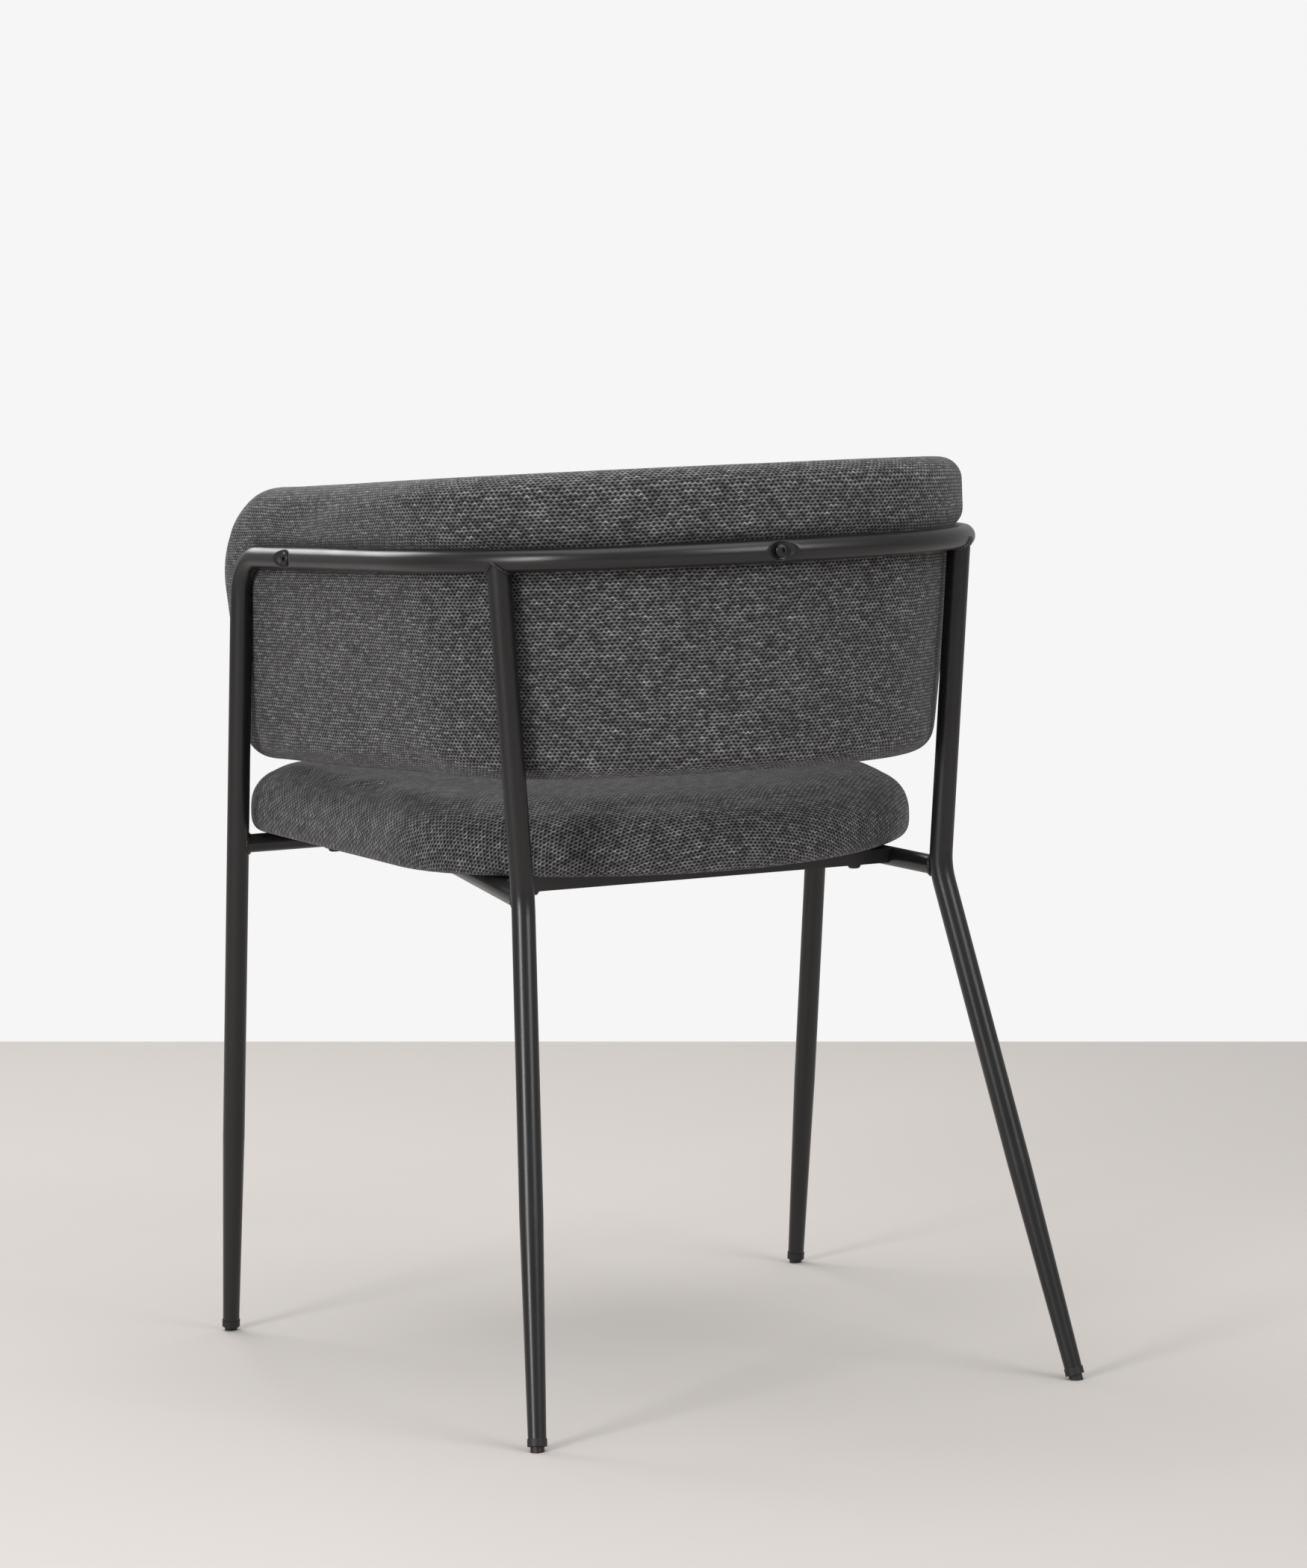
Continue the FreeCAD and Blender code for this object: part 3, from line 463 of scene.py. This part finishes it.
def pad_grid(sizes, cells):
    """A box of the given sizes whose faces are cut into cells, as a new object."""
    deselect()
    bpy.ops.mesh.primitive_cube_add(size=1)
    piece = bpy.context.object
    piece.data.transform(Matrix.Diagonal((*sizes, 1)))
    bpy.ops.object.mode_set(mode="EDIT")
    for axis in range(3):
        bpy.ops.mesh.select_all(action="DESELECT")
        bpy.ops.mesh.select_mode(type="EDGE")
        bpy.ops.object.mode_set(mode="OBJECT")
        points = points_of(piece)
        for edge in piece.data.edges:
            a, b = edge.vertices
            delta = np.abs(points[a] - points[b])
            edge.select = bool(delta[axis] > 1e-6 and delta.sum() - delta[axis] < 1e-6)
        bpy.ops.object.mode_set(mode="EDIT")
        bpy.ops.mesh.subdivide(number_cuts=cells[axis] - 1)
    bpy.ops.object.mode_set(mode="OBJECT")
    return piece


def rounded_ends(s, z, half_s, low, high):
    """Moves points of a flat rectangle so that its four corners are round.
    Returns the points, their outward direction in the plane and their distance in from the outline."""
    radius = np.where(z > (low + high) / 2, PAD_TOP_CORNER_R, PAD_BOTTOM_CORNER_R)
    past_s = np.abs(s) - (half_s - radius)
    past_high, past_low = z - (high - radius), (low + radius) - z
    past_z = np.maximum(past_high, past_low)
    in_corner = (past_s > 0) & (past_z > 0)
    reach = np.maximum(past_s, past_z)
    length = np.hypot(past_s, past_z) + 1e-12
    side, up = np.sign(s), np.where(past_high > past_low, 1.0, -1.0)
    dir_s = np.where(in_corner, past_s / length * side, np.where(past_s > past_z, side, 0.0))
    dir_z = np.where(in_corner, past_z / length * up, np.where(past_s > past_z, 0.0, up))
    new_s = np.where(in_corner, side * (half_s - radius) + dir_s * reach, s)
    centre_z = np.where(up > 0, high - radius, low + radius)
    new_z = np.where(in_corner, centre_z + dir_z * reach, z)
    return new_s, new_z, dir_s, dir_z, radius - reach


def edge_round(inward, depth, thickness, radius):
    """Rounds the rim of a slab.
    inward is the distance in from the outline, and depth that from the outer face.
    Returns both after rounding and the length of cloth from where the outer rounding starts."""
    near_back = depth > thickness / 2
    d = np.where(near_back, thickness - depth, depth)
    a, b = radius - inward, radius - d
    in_round = (a > 0) & (b > 0)
    reach, length = np.maximum(a, b), np.hypot(a, b) + 1e-12
    new_in = np.where(in_round, radius - a / length * reach, inward)
    new_d = np.where(in_round, radius - b / length * reach, d)
    on_rim = inward < ON_OUTLINE
    quarter = math.pi / 2 * radius
    along = np.where(on_rim, radius + np.minimum(d, radius), radius - inward)
    arc = np.clip(along, 0, 2 * radius) / (2 * radius) * quarter
    arc = np.where(on_rim & (depth > radius), quarter + depth - radius, arc)
    return new_in, np.where(near_back, thickness - new_d, new_d), np.where(inward < radius, arc, 0)


def pad_outline(inset):
    """Half length and heights of the back pad, on the line where its outer face lies."""
    face = TUBE_R + PAD_REST_GAP
    half_back, corner, _ = plan_runs(face)
    arm_start_y = on_plan(np.array([half_back + corner]), face, face)[1][0]
    half = half_back + corner + (arm_start_y - BACK_LOW.y) / math.cos(ARM_FLARE)
    return half - inset, BACK_LOW.z + inset, BACK_HIGH.z - inset


def pad_point(s, z, depth):
    """Points of the back pad from their length along it, their height and their depth in it."""
    face = TUBE_R + PAD_REST_GAP
    half_back, corner, arm = plan_runs(face)
    forward = ease((np.abs(s) - half_back - corner) / arm)
    lean = (RAIL_Z - z) * PAD_LEAN * (1 - (1 - ARM_LEAN_SHARE) * forward)
    bulge = PAD_TOP_BULGE * (1 - forward) * ease((z - RAIL_Z) / BULGE_RISE)
    bulge *= ease((BULGE_DEPTH - depth) / BULGE_FADE)
    bulge *= 1 - PAD_TOP_ROLL * ease((z - BACK_HIGH.z + ROLL_HEIGHT) / ROLL_HEIGHT)
    x, y, _, _ = on_plan(s, face + lean + depth - bulge, face)
    drop = np.maximum(RAIL_BACK_Y - y, 0) * PAD_TOP_DROP
    drop *= ease((z - RAIL_Z - TOP_DROP_FROM) / TOP_DROP_RISE)
    return np.stack([x, y, z - drop], axis=1)


def swell(piece, pressure, cap, frames=20):
    """Blows a pad up from inside as cloth and keeps the result, and returns the points as they were.
    No point moves inwards or further than cap."""
    rest = points_of(piece)
    normals = np.array([v.normal[:] for v in piece.data.vertices])
    only(piece)
    bpy.ops.object.modifier_add(type="CLOTH")
    cloth = piece.modifiers[-1]
    cloth.settings.use_pressure = True
    cloth.settings.uniform_pressure_force = pressure
    cloth.settings.effector_weights.gravity = 0
    cloth.settings.quality = 4
    cloth.settings.tension_stiffness = 30
    cloth.settings.compression_stiffness = 30
    cloth.settings.shear_stiffness = 15
    cloth.settings.bending_stiffness = 10.0
    cloth.point_cache.frame_start = 1
    cloth.point_cache.frame_end = frames
    for number in range(1, frames + 1):
        scene.frame_set(number)
    bpy.ops.object.modifier_apply(modifier=cloth.name)
    scene.frame_set(1)
    moved = points_of(piece) - rest
    inward = np.minimum((moved * normals).sum(1, keepdims=True), 0)
    moved -= inward * normals
    length = np.linalg.norm(moved, axis=1, keepdims=True) + 1e-12
    soft_cap = cap * np.tanh(length / cap)
    set_points(piece, rest + moved / length * soft_cap)
    return rest


def write_weave(piece, corner_uv):
    """Stores the cloth's own coordinates, in metres, as the UV map that the weave follows."""
    layer = piece.data.uv_layers.new(name="weave")
    layer.data.foreach_set("uv", corner_uv.astype(np.float32).ravel())


def corner_vertices(piece):
    """The vertex of each face corner."""
    index = np.zeros(len(piece.data.loops), np.int32)
    piece.data.loops.foreach_get("vertex_index", index)
    return index


def corner_faces(piece):
    """The face of each face corner."""
    totals = np.zeros(len(piece.data.polygons), np.int32)
    piece.data.polygons.foreach_get("loop_total", totals)
    return np.repeat(np.arange(len(totals)), totals)


def back_pad(material):
    """Wrap-round back pad: its outer panel is pulled over the rim, and its inner face is a second panel."""
    half, low, high = pad_outline(PAD_INSET)
    half -= END_TUCK
    thickness = PAD_T - 2 * PAD_INSET
    piece = pad_grid((2 * half, high - low, thickness), PAD_CELLS)
    piece.name = "back_pad"
    grid = points_of(piece)
    s, z, depth = grid[:, 0], grid[:, 1] + (low + high) / 2, grid[:, 2] + thickness / 2
    new_s, new_z, dir_s, dir_z, inward = rounded_ends(s, z, half, low, high)
    new_in, new_depth, arc = edge_round(inward, depth, thickness, PAD_EDGE_R)
    rim_s, rim_z = new_s + dir_s * inward, new_z + dir_z * inward
    in_rim = inward < PAD_EDGE_R
    set_points(piece, pad_point(rim_s - dir_s * new_in, rim_z - dir_z * new_in, new_depth + PAD_INSET))
    # the outer panel is the outer face and the rim; the inner panel has its own, shorter, lengths
    laid = np.where(in_rim, arc - PAD_EDGE_R, -inward)
    outer_uv = np.stack([rim_s + dir_s * laid, rim_z + dir_z * laid], axis=1)
    scale = plan_runs(TUBE_R + PAD_T)[1] / plan_runs(TUBE_R)[1]
    half_back, corner, _ = plan_runs(TUBE_R)
    run = np.abs(new_s)
    inner_run = np.minimum(run, half_back) + np.clip(run - half_back, 0, corner) * scale
    inner_run += np.maximum(run - half_back - corner, 0)
    inner_uv = np.stack([np.sign(new_s) * inner_run, new_z + 1.0], axis=1)
    corners, faces = corner_vertices(piece), corner_faces(piece)
    inner_vertex = depth > thickness - 1e-6
    face_count = np.bincount(faces)
    inner_face = np.bincount(faces, weights=inner_vertex[corners]) > face_count - 0.5
    write_weave(piece, np.where(inner_face[faces][:, None], inner_uv[corners], outer_uv[corners]))
    face_outwards(piece)
    swell(piece, PAD_PRESSURE, PAD_SWELL)
    press_on_rail(piece)
    smooth_once(piece)
    press_on_rail(piece)
    bpy.ops.object.shade_smooth()
    dress(piece, material)
    join_frame(piece)
    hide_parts("back_cover", "back_foam")


def rail_distance(points):
    """How far inside the rail's axis each point lies in plan, and the outward direction there."""
    x, y = np.abs(points[:, 0]), points[:, 1]
    bx, by = x - BACK_CENTRE.x, y - BACK_CENTRE.y
    cx, cy = x - CORNER_CENTRE.x, y - CORNER_CENTRE.y
    end = BACK_ARC_HALF + CORNER_TURN
    nx, ny = math.sin(end), math.cos(end)
    in_back = np.arctan2(bx, by) < BACK_ARC_HALF
    in_arm = (cx * ny - cy * nx) > 0
    back_in = BACK_ARC_R - np.hypot(bx, by)
    corner_in = CORNER_ARC_R - np.hypot(cx, cy)
    arm_in = CORNER_ARC_R - (cx * nx + cy * ny)
    inside = np.where(in_back, back_in, np.where(in_arm, arm_in, corner_in))
    corner_r = np.hypot(cx, cy) + 1e-9
    out_x = np.where(in_back, bx / np.hypot(bx, by), np.where(in_arm, nx, cx / corner_r))
    out_y = np.where(in_back, by / np.hypot(bx, by), np.where(in_arm, ny, cy / corner_r))
    return inside, out_x * np.sign(points[:, 0] + 1e-12), out_y


def press_on_rail(piece):
    """Keeps the cloth off the rail: it is pressed in along the tube and stands proud above and below."""
    points = points_of(piece)
    inside, out_x, out_y = rail_distance(points)
    up = np.abs(points[:, 2] - RAIL_Z)
    clear = TUBE_R + 0.0006
    wanted = np.sqrt(np.maximum(clear ** 2 - up ** 2, 0))
    shoulder = (TUBE_R + 0.006 - up) * 1.2
    wanted = np.maximum(wanted, np.minimum(shoulder, clear))
    push = np.maximum(wanted - inside, 0) * (points[:, 1] > RAIL_LOW.y - 0.02)
    points[:, 0] -= out_x * push
    points[:, 1] -= out_y * push
    set_points(piece, points)


# ---------------------------------------------------------------- seat pad

def to_seat(points):
    """Points turned into the seat's own level frame, its base at z 0."""
    turn = Matrix.Rotation(SEAT_TILT, 3, "X")
    return (points - np.array(SEAT_PIVOT)) @ np.array(turn).T


def from_seat(points):
    """The way back from to_seat."""
    turn = Matrix.Rotation(-SEAT_TILT, 3, "X")
    return points @ np.array(turn).T + np.array(SEAT_PIVOT)


def outline_loop(inset, spacing):
    """Evenly spaced plan points round the seat, set inwards, in the seat's own frame."""
    cover = to_seat(points_of(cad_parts["seat_cover"]))
    flat = [Vector(p) for p in cover[:, :2]]
    hull = np.array([flat[i] for i in convex_hull_2d(flat)])
    steps = np.linalg.norm(np.roll(hull, -1, 0) - hull, axis=1)
    length = np.concatenate([[0], np.cumsum(steps)])
    count = int(length[-1] / spacing)
    where = np.linspace(0, length[-1], count, endpoint=False)
    closed = np.vstack([hull, hull[:1]])
    loop = np.stack([np.interp(where, length, closed[:, k]) for k in (0, 1)], axis=1)
    ahead = np.roll(loop, -1, 0) - np.roll(loop, 1, 0)
    out = np.stack([ahead[:, 1], -ahead[:, 0]], axis=1)
    out /= np.linalg.norm(out, axis=1, keepdims=True)
    if ((loop - loop.mean(0)) * out).sum() < 0:
        out = -out
    return loop - out * inset, out


def seat_pad(material):
    """Seat pad: one cover pulled over foam and closed at the underside of the board."""
    loop, _ = outline_loop(SEAT_INSET, SEAT_SPACING)
    cover = to_seat(points_of(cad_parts["seat_cover"]))
    base, top = cover[:, 2].min(), cover[:, 2].max() - SEAT_INSET
    deselect()
    bpy.ops.mesh.primitive_circle_add(vertices=len(loop), radius=0.2, fill_type="NGON")
    piece = bpy.context.object
    piece.name = "seat_pad"
    set_points(piece, np.column_stack([loop, np.full(len(loop), base)]))
    bpy.ops.object.mode_set(mode="EDIT")
    bpy.ops.mesh.select_all(action="SELECT")
    bpy.ops.mesh.extrude_region_move(TRANSFORM_OT_translate={"value": (0, 0, top - base)})
    bpy.ops.mesh.select_all(action="SELECT")
    bpy.ops.mesh.normals_make_consistent(inside=False)
    for level, radius in ((top, SEAT_TOP_ROUND), (base, SEAT_BOTTOM_ROUND)):
        bpy.ops.mesh.select_all(action="DESELECT")
        bpy.ops.object.mode_set(mode="OBJECT")
        for edge in piece.data.edges:
            heights = [piece.data.vertices[v].co.z for v in edge.vertices]
            edge.select = all(abs(h - level) < SAME for h in heights)
        bpy.ops.object.mode_set(mode="EDIT")
        bpy.ops.mesh.bevel(offset=radius, segments=8, profile=0.5)
    bpy.ops.object.mode_set(mode="OBJECT")
    piece.data.remesh_voxel_size = SEAT_VOXEL
    only(piece)
    bpy.ops.object.voxel_remesh()
    rest = swell(piece, SEAT_PRESSURE, SEAT_SWELL)
    points = points_of(piece)
    points[:, 2] = np.maximum(points[:, 2], base)
    free = ease((rest[:, 2] - base - SEAT_HELD) / SEAT_HELD_FADE)[:, None]
    points = rest * (1 - free) + points * free
    set_points(piece, points)
    smooth_once(piece)
    seat_weave(piece, top)
    set_points(piece, from_seat(points_of(piece)))
    only(piece)
    bpy.ops.object.shade_smooth()
    dress(piece, material)
    join_frame(piece)
    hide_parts("seat_cover", "seat_foam")


def seat_weave(piece, top):
    """The cover is one cloth: flat on top, then carried down over the rim along the outline's normal."""
    loop, out = outline_loop(0.0, SEAT_SPACING)
    points = points_of(piece)
    foot = np.zeros(len(points), np.int64)
    for start in range(0, len(points), 4000):
        part = points[start:start + 4000, None, :2] - loop[None, :, :]
        foot[start:start + 4000] = np.argmin((part ** 2).sum(2), axis=1)
    direction = out[foot]
    inward = -((points[:, :2] - loop[foot]) * direction).sum(1)
    radius = SEAT_TOP_ROUND
    drop = np.maximum(top - points[:, 2], 0)
    angle = np.arctan2(radius - inward, radius - np.minimum(drop, radius - 1e-4))
    round_length = radius * np.clip(angle, 0, math.pi / 2)
    side_length = drop - radius + radius * math.pi / 2
    length = np.where(drop > radius, side_length, round_length)
    in_rim = inward < radius
    laid = np.where(in_rim, length - radius, -inward)
    plan = points[:, :2] + direction * (inward + laid)[:, None] * in_rim[:, None]
    write_weave(piece, plan[corner_vertices(piece)])


# ---------------------------------------------------------------- frame pieces

def screw_places():
    """Plan point on the rail's axis and outward normal at the middle of the back and in each arm."""
    half_back, corner, _ = plan_runs(0)
    arm_start_y = on_plan(np.array([half_back + corner]), 0)[1][0]
    arm_s = half_back + corner + (arm_start_y - ARM_SCREW_Y) / math.cos(ARM_FLARE)
    x, y, nx, ny = on_plan(np.array([0.0, arm_s, -arm_s]), 0)
    return [(Vector((x[i], y[i], RAIL_Z)), Vector((nx[i], ny[i], 0)), s)
            for i, s in enumerate((0, arm_s, -arm_s))]


def press_dimple(points, centre, outward):
    """Presses a round-floored dent with sloping sides into the tube, as a punch does."""
    local = points - np.array(centre)
    along = np.cross((0, 0, 1), np.array(outward))
    height = local @ np.array(outward)
    reach = np.hypot(local @ along, local[:, 2])
    cone = DIMPLE_FLOOR + np.maximum(reach - DIMPLE_FLOOR_R, 0) * DIMPLE_SLOPE
    cone += np.minimum(reach / DIMPLE_FLOOR_R, 1) ** 2 * 0.2 * MM
    lower = 0.5 * (height + cone - np.sqrt((height - cone) ** 2 + DIMPLE_EDGE ** 2))
    pressed = np.where((height > 0) & (reach < 2.5 * DIMPLE_FLOOR_R), lower, height)
    return points + (pressed - height)[:, None] * np.array(outward)


def back_rail(material):
    """Bent tube rail, with a dent pressed in at each screw so that its head lies below the surface."""
    half_back, corner, _ = plan_runs(0)
    arm_start_y = on_plan(np.array([half_back + corner]), 0)[1][0]
    end_y = RAIL_LOW.y + TUBE_R * math.sin(ARM_FLARE)
    end = half_back + corner + (arm_start_y - end_y) / math.cos(ARM_FLARE)
    places = screw_places()
    coarse = np.linspace(-end, end, 181)
    fine = [s + np.arange(-16, 16.1, 0.7) * MM for _, _, s in places]
    runs = np.unique(np.concatenate([coarse] + fine))
    runs = runs[np.concatenate([[True], np.diff(runs) > 0.3 * MM])]
    runs[-1] = end
    x, y, nx, ny = on_plan(runs, 0)
    deselect()
    bpy.ops.mesh.primitive_cylinder_add(vertices=96, radius=TUBE_R, depth=1, end_fill_type="NOTHING")
    piece = bpy.context.object
    piece.name = "bent_back_rail"
    bpy.ops.object.mode_set(mode="EDIT")
    bpy.ops.mesh.select_all(action="DESELECT")
    bpy.ops.object.mode_set(mode="OBJECT")
    for edge in piece.data.edges:
        a, b = (piece.data.vertices[v].co for v in edge.vertices)
        edge.select = abs(a.z - b.z) > 0.5
    bpy.ops.object.mode_set(mode="EDIT")
    bpy.ops.mesh.subdivide(number_cuts=len(runs) - 2)
    bpy.ops.object.mode_set(mode="OBJECT")
    straight = points_of(piece)
    ring = np.rint((straight[:, 2] + 0.5) * (len(runs) - 1)).astype(int)
    outward, up = straight[:, 0], straight[:, 1]
    points = np.column_stack([x[ring] + nx[ring] * outward, y[ring] + ny[ring] * outward, RAIL_Z + up])
    for centre, normal, _ in places:
        points = press_dimple(points, centre, normal)
    set_points(piece, points)
    face_outwards(piece)
    bpy.ops.object.modifier_add(type="SOLIDIFY")
    wall = piece.modifiers[-1]
    wall.thickness, wall.offset = RAIL_WALL, -1
    bpy.ops.object.modifier_apply(modifier=wall.name)
    bpy.ops.object.shade_smooth_by_angle(angle=math.radians(35))
    dress(piece, material)
    join_frame(piece)
    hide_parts("back_rail")


def back_screws(material):
    """Button-head screws with a hexagon socket, one in each dent."""
    made = []
    for centre, outward, _ in screw_places():
        deselect()
        bpy.ops.mesh.primitive_cylinder_add(vertices=48, radius=HEAD_R, depth=HEAD_T)
        head = bpy.context.object
        bpy.ops.object.mode_set(mode="EDIT")
        bpy.ops.mesh.select_all(action="DESELECT")
        bpy.ops.object.mode_set(mode="OBJECT")
        for edge in head.data.edges:
            edge.select = all(head.data.vertices[v].co.z > 1 * MM for v in edge.vertices)
        bpy.ops.object.mode_set(mode="EDIT")
        bpy.ops.mesh.bevel(offset=HEAD_ROUND, segments=6, profile=0.5)
        bpy.ops.object.mode_set(mode="OBJECT")
        deselect()
        bpy.ops.mesh.primitive_cylinder_add(vertices=6, radius=KEY_R, depth=KEY_DEPTH,
                                            location=(0, 0, KEY_MIDDLE))
        key = bpy.context.object
        settle(key)
        only(head)
        bpy.ops.object.modifier_add(type="BOOLEAN")
        head.modifiers[-1].object = key
        bpy.ops.object.modifier_apply(modifier=head.modifiers[-1].name)
        bpy.data.objects.remove(key)
        bpy.ops.mesh.primitive_cylinder_add(vertices=24, radius=SHANK_R, depth=SHANK_LENGTH,
                                            location=(0, 0, SHANK_MIDDLE))
        shank = bpy.context.object
        settle(shank)
        for part in (head, shank):
            turn = outward.to_track_quat("Z", "Y").to_matrix().to_4x4()
            part.data.transform(Matrix.Translation(centre + outward * (DIMPLE_FLOOR + HEAD_T / 2)) @ turn)
        made += [head, shank]
    piece = join(made, "button_head_screws")
    bpy.ops.object.shade_smooth_by_angle(angle=math.radians(30))
    dress(piece, material)
    join_frame(piece)
    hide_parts("back_screws")


def weld_bead(place, stub_axis, stub_r, main_axis, main_r, bead=WELD_BEAD_R):
    """A bead round a tube's end where it is welded to the side of another, along their common edge."""
    stub, main = Vector(stub_axis).normalized(), Vector(main_axis).normalized()
    side = stub.cross(main).normalized()
    third = stub.cross(side)
    deselect()
    bpy.ops.mesh.primitive_torus_add(major_radius=stub_r, minor_radius=bead, major_segments=96,
                                     minor_segments=12)
    piece = bpy.context.object
    points = points_of(piece)
    angle = np.arctan2(points[:, 1], points[:, 0])
    ripple = 1 + 0.1 * np.sin(22 * angle)
    radial = np.hypot(points[:, 0], points[:, 1]) - stub_r
    line = np.outer(np.cos(angle), side) + np.outer(np.sin(angle), third)
    foot = line * stub_r
    m, s = np.array(main), np.array(stub)
    foot_off = foot - np.outer(foot @ m, m)
    stub_off = s - (s @ m) * m
    a, b = stub_off @ stub_off, 2 * foot_off @ stub_off
    c = (foot_off ** 2).sum(1) - main_r ** 2
    lift = (-b + np.sqrt(np.maximum(b * b - 4 * a * c, 0))) / (2 * a)
    placed = np.array(place) + line * (stub_r + radial * ripple)[:, None]
    placed += np.outer(lift + points[:, 2] * ripple, s)
    set_points(piece, placed)
    return piece


def weld_beads(material):
    """All beads of the frame as one piece: those of the rail, the cross tube and the side tubes."""
    made = []
    for side in (1, -1):
        knee = Vector((side * REAR_KNEE.x, REAR_KNEE.y, REAR_KNEE.z))
        top = Vector((side * REAR_LEG_TOP.x, REAR_LEG_TOP.y, REAR_LEG_TOP.z))
        outward = (top - Vector((side * CORNER_CENTRE.x, CORNER_CENTRE.y, RAIL_Z))).normalized()
        tangent = outward.cross(Vector((0, 0, 1)))
        made.append(weld_bead(top, knee - top, TUBE_R, tangent, TUBE_R))
        foot = Vector((side * FRONT_FOOT.x, FRONT_FOOT.y, 0))
        corner = Vector((side * ARM_CORNER.x, ARM_CORNER.y, RAIL_Z))
        cross_end = foot.lerp(corner, CROSS_Z / RAIL_Z)
        made.append(weld_bead(cross_end, (-side, 0, 0), UNDER_R, corner - foot, TUBE_R))
        side_front = Vector((side * SIDE_FRONT_X, cross_end.y, CROSS_Z))
        along = knee - side_front
        made.append(weld_bead(side_front, along, UNDER_R, (1, 0, 0), UNDER_R))
        leg_axis = Vector((0.02 * side, -0.02, 1))
        made.append(weld_bead(knee, -along, UNDER_R, leg_axis, TUBE_R, KNEE_BEAD_R))
    piece = join(made, "weld_beads")
    face_outwards(piece)
    bpy.ops.object.shade_smooth()
    dress(piece, material)
    join_frame(piece)


# ---------------------------------------------------------------- camera and studio

def place_camera():
    """The camera, aimed by its turn about the vertical, its dip and its roll."""
    yaw, pitch, roll = (math.radians(a) for a in (CAMERA_YAW, CAMERA_PITCH, CAMERA_ROLL))
    forward = Vector((-math.sin(yaw) * math.cos(pitch), -math.cos(yaw) * math.cos(pitch), -math.sin(pitch)))
    right = forward.cross(Vector((0, 0, 1))).normalized()
    up = right.cross(forward)
    rolled_right = right * math.cos(roll) + up * math.sin(roll)
    rolled_up = -right * math.sin(roll) + up * math.cos(roll)
    data = bpy.data.cameras.new("camera")
    data.lens, data.sensor_width, data.sensor_fit = CAMERA_LENS, 36, "AUTO"
    camera = bpy.data.objects.new("camera", data)
    scene.collection.objects.link(camera)
    turn = Matrix((rolled_right, rolled_up, -forward)).transposed().to_4x4()
    camera.matrix_world = Matrix.Translation(CAMERA_PLACE) @ turn
    scene.camera = camera


def area_light(name, place, target, size, power):
    """A white soft box at a place, pointed at a target."""
    data = bpy.data.lights.new(name, "AREA")
    data.shape = "RECTANGLE"
    data.size, data.size_y = size
    data.energy = power
    light = bpy.data.objects.new(name, data)
    scene.collection.objects.link(light)
    light.location = place
    light.rotation_euler = (Vector(target) - Vector(place)).to_track_quat("-Z", "Y").to_euler()


def studio():
    """Pale floor that ends at the wall line, a white surround, and soft boxes."""
    along = (FLOOR_FAR_RIGHT - FLOOR_FAR_LEFT).normalized()
    inward = Vector((-along.y, along.x, 0))
    deselect()
    bpy.ops.mesh.primitive_plane_add(size=1)
    floor = bpy.context.object
    floor.name = "studio_floor"
    middle = (FLOOR_FAR_LEFT + FLOOR_FAR_RIGHT) / 2
    far = [middle - along * FLOOR_HALF_WIDTH, middle + along * FLOOR_HALF_WIDTH]
    near = [corner + inward * FLOOR_DEPTH for corner in far]
    set_points(floor, np.array(far + near))
    dress(floor, pale_floor())
    world = bpy.data.worlds.new("studio")
    scene.world = world
    world.use_nodes = True
    tree = world.node_tree
    tree.nodes.clear()
    surround = add(tree, "ShaderNodeBackground", {"Color": linear("#f5f5f5"), "Strength": 0.5})
    backdrop = add(tree, "ShaderNodeBackground", {"Color": linear("#f6f6f6"), "Strength": 1.0})
    seen = add(tree, "ShaderNodeLightPath")
    mix = add(tree, "ShaderNodeMixShader", {0: seen.outputs["Is Camera Ray"], 1: surround.outputs[0],
                                            2: backdrop.outputs[0]})
    add(tree, "ShaderNodeOutputWorld", {"Surface": mix.outputs[0]})
    scene.view_settings.view_transform = "Standard"
    for box in SOFTBOXES:
        area_light(*box)


# ---------------------------------------------------------------- build

steel = powder_coated_steel()
upholstery = chenille_weave()
glide_plastic = moulded_plastic()
under_cloth = spun_bonded_cloth()
black_steel = plated_steel("blackened_steel", "#3a3a3b", 0.34)
zinc = plated_steel("zinc_plated_steel", "#b9bcc0", 0.38)
plywood = beech_plywood()

for name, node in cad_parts.items():
    if name.startswith("glide"):
        dress(node, glide_plastic)
    elif name == "seat_dust_cloth":
        dress(node, under_cloth)
    elif name in ("seat_bolts", "seat_washers", "back_screws"):
        dress(node, black_steel)
    elif name in ("seat_tee_nuts", "back_inserts"):
        dress(node, zinc)
    elif name in ("seat_board", "back_shell"):
        dress(node, plywood)
    elif name not in ("seat_cover", "seat_foam", "back_cover", "back_foam"):
        dress(node, steel)

place_camera()
studio()
back_rail(steel)
back_screws(black_steel)
weld_beads(steel)
back_pad(upholstery)
seat_pad(upholstery)
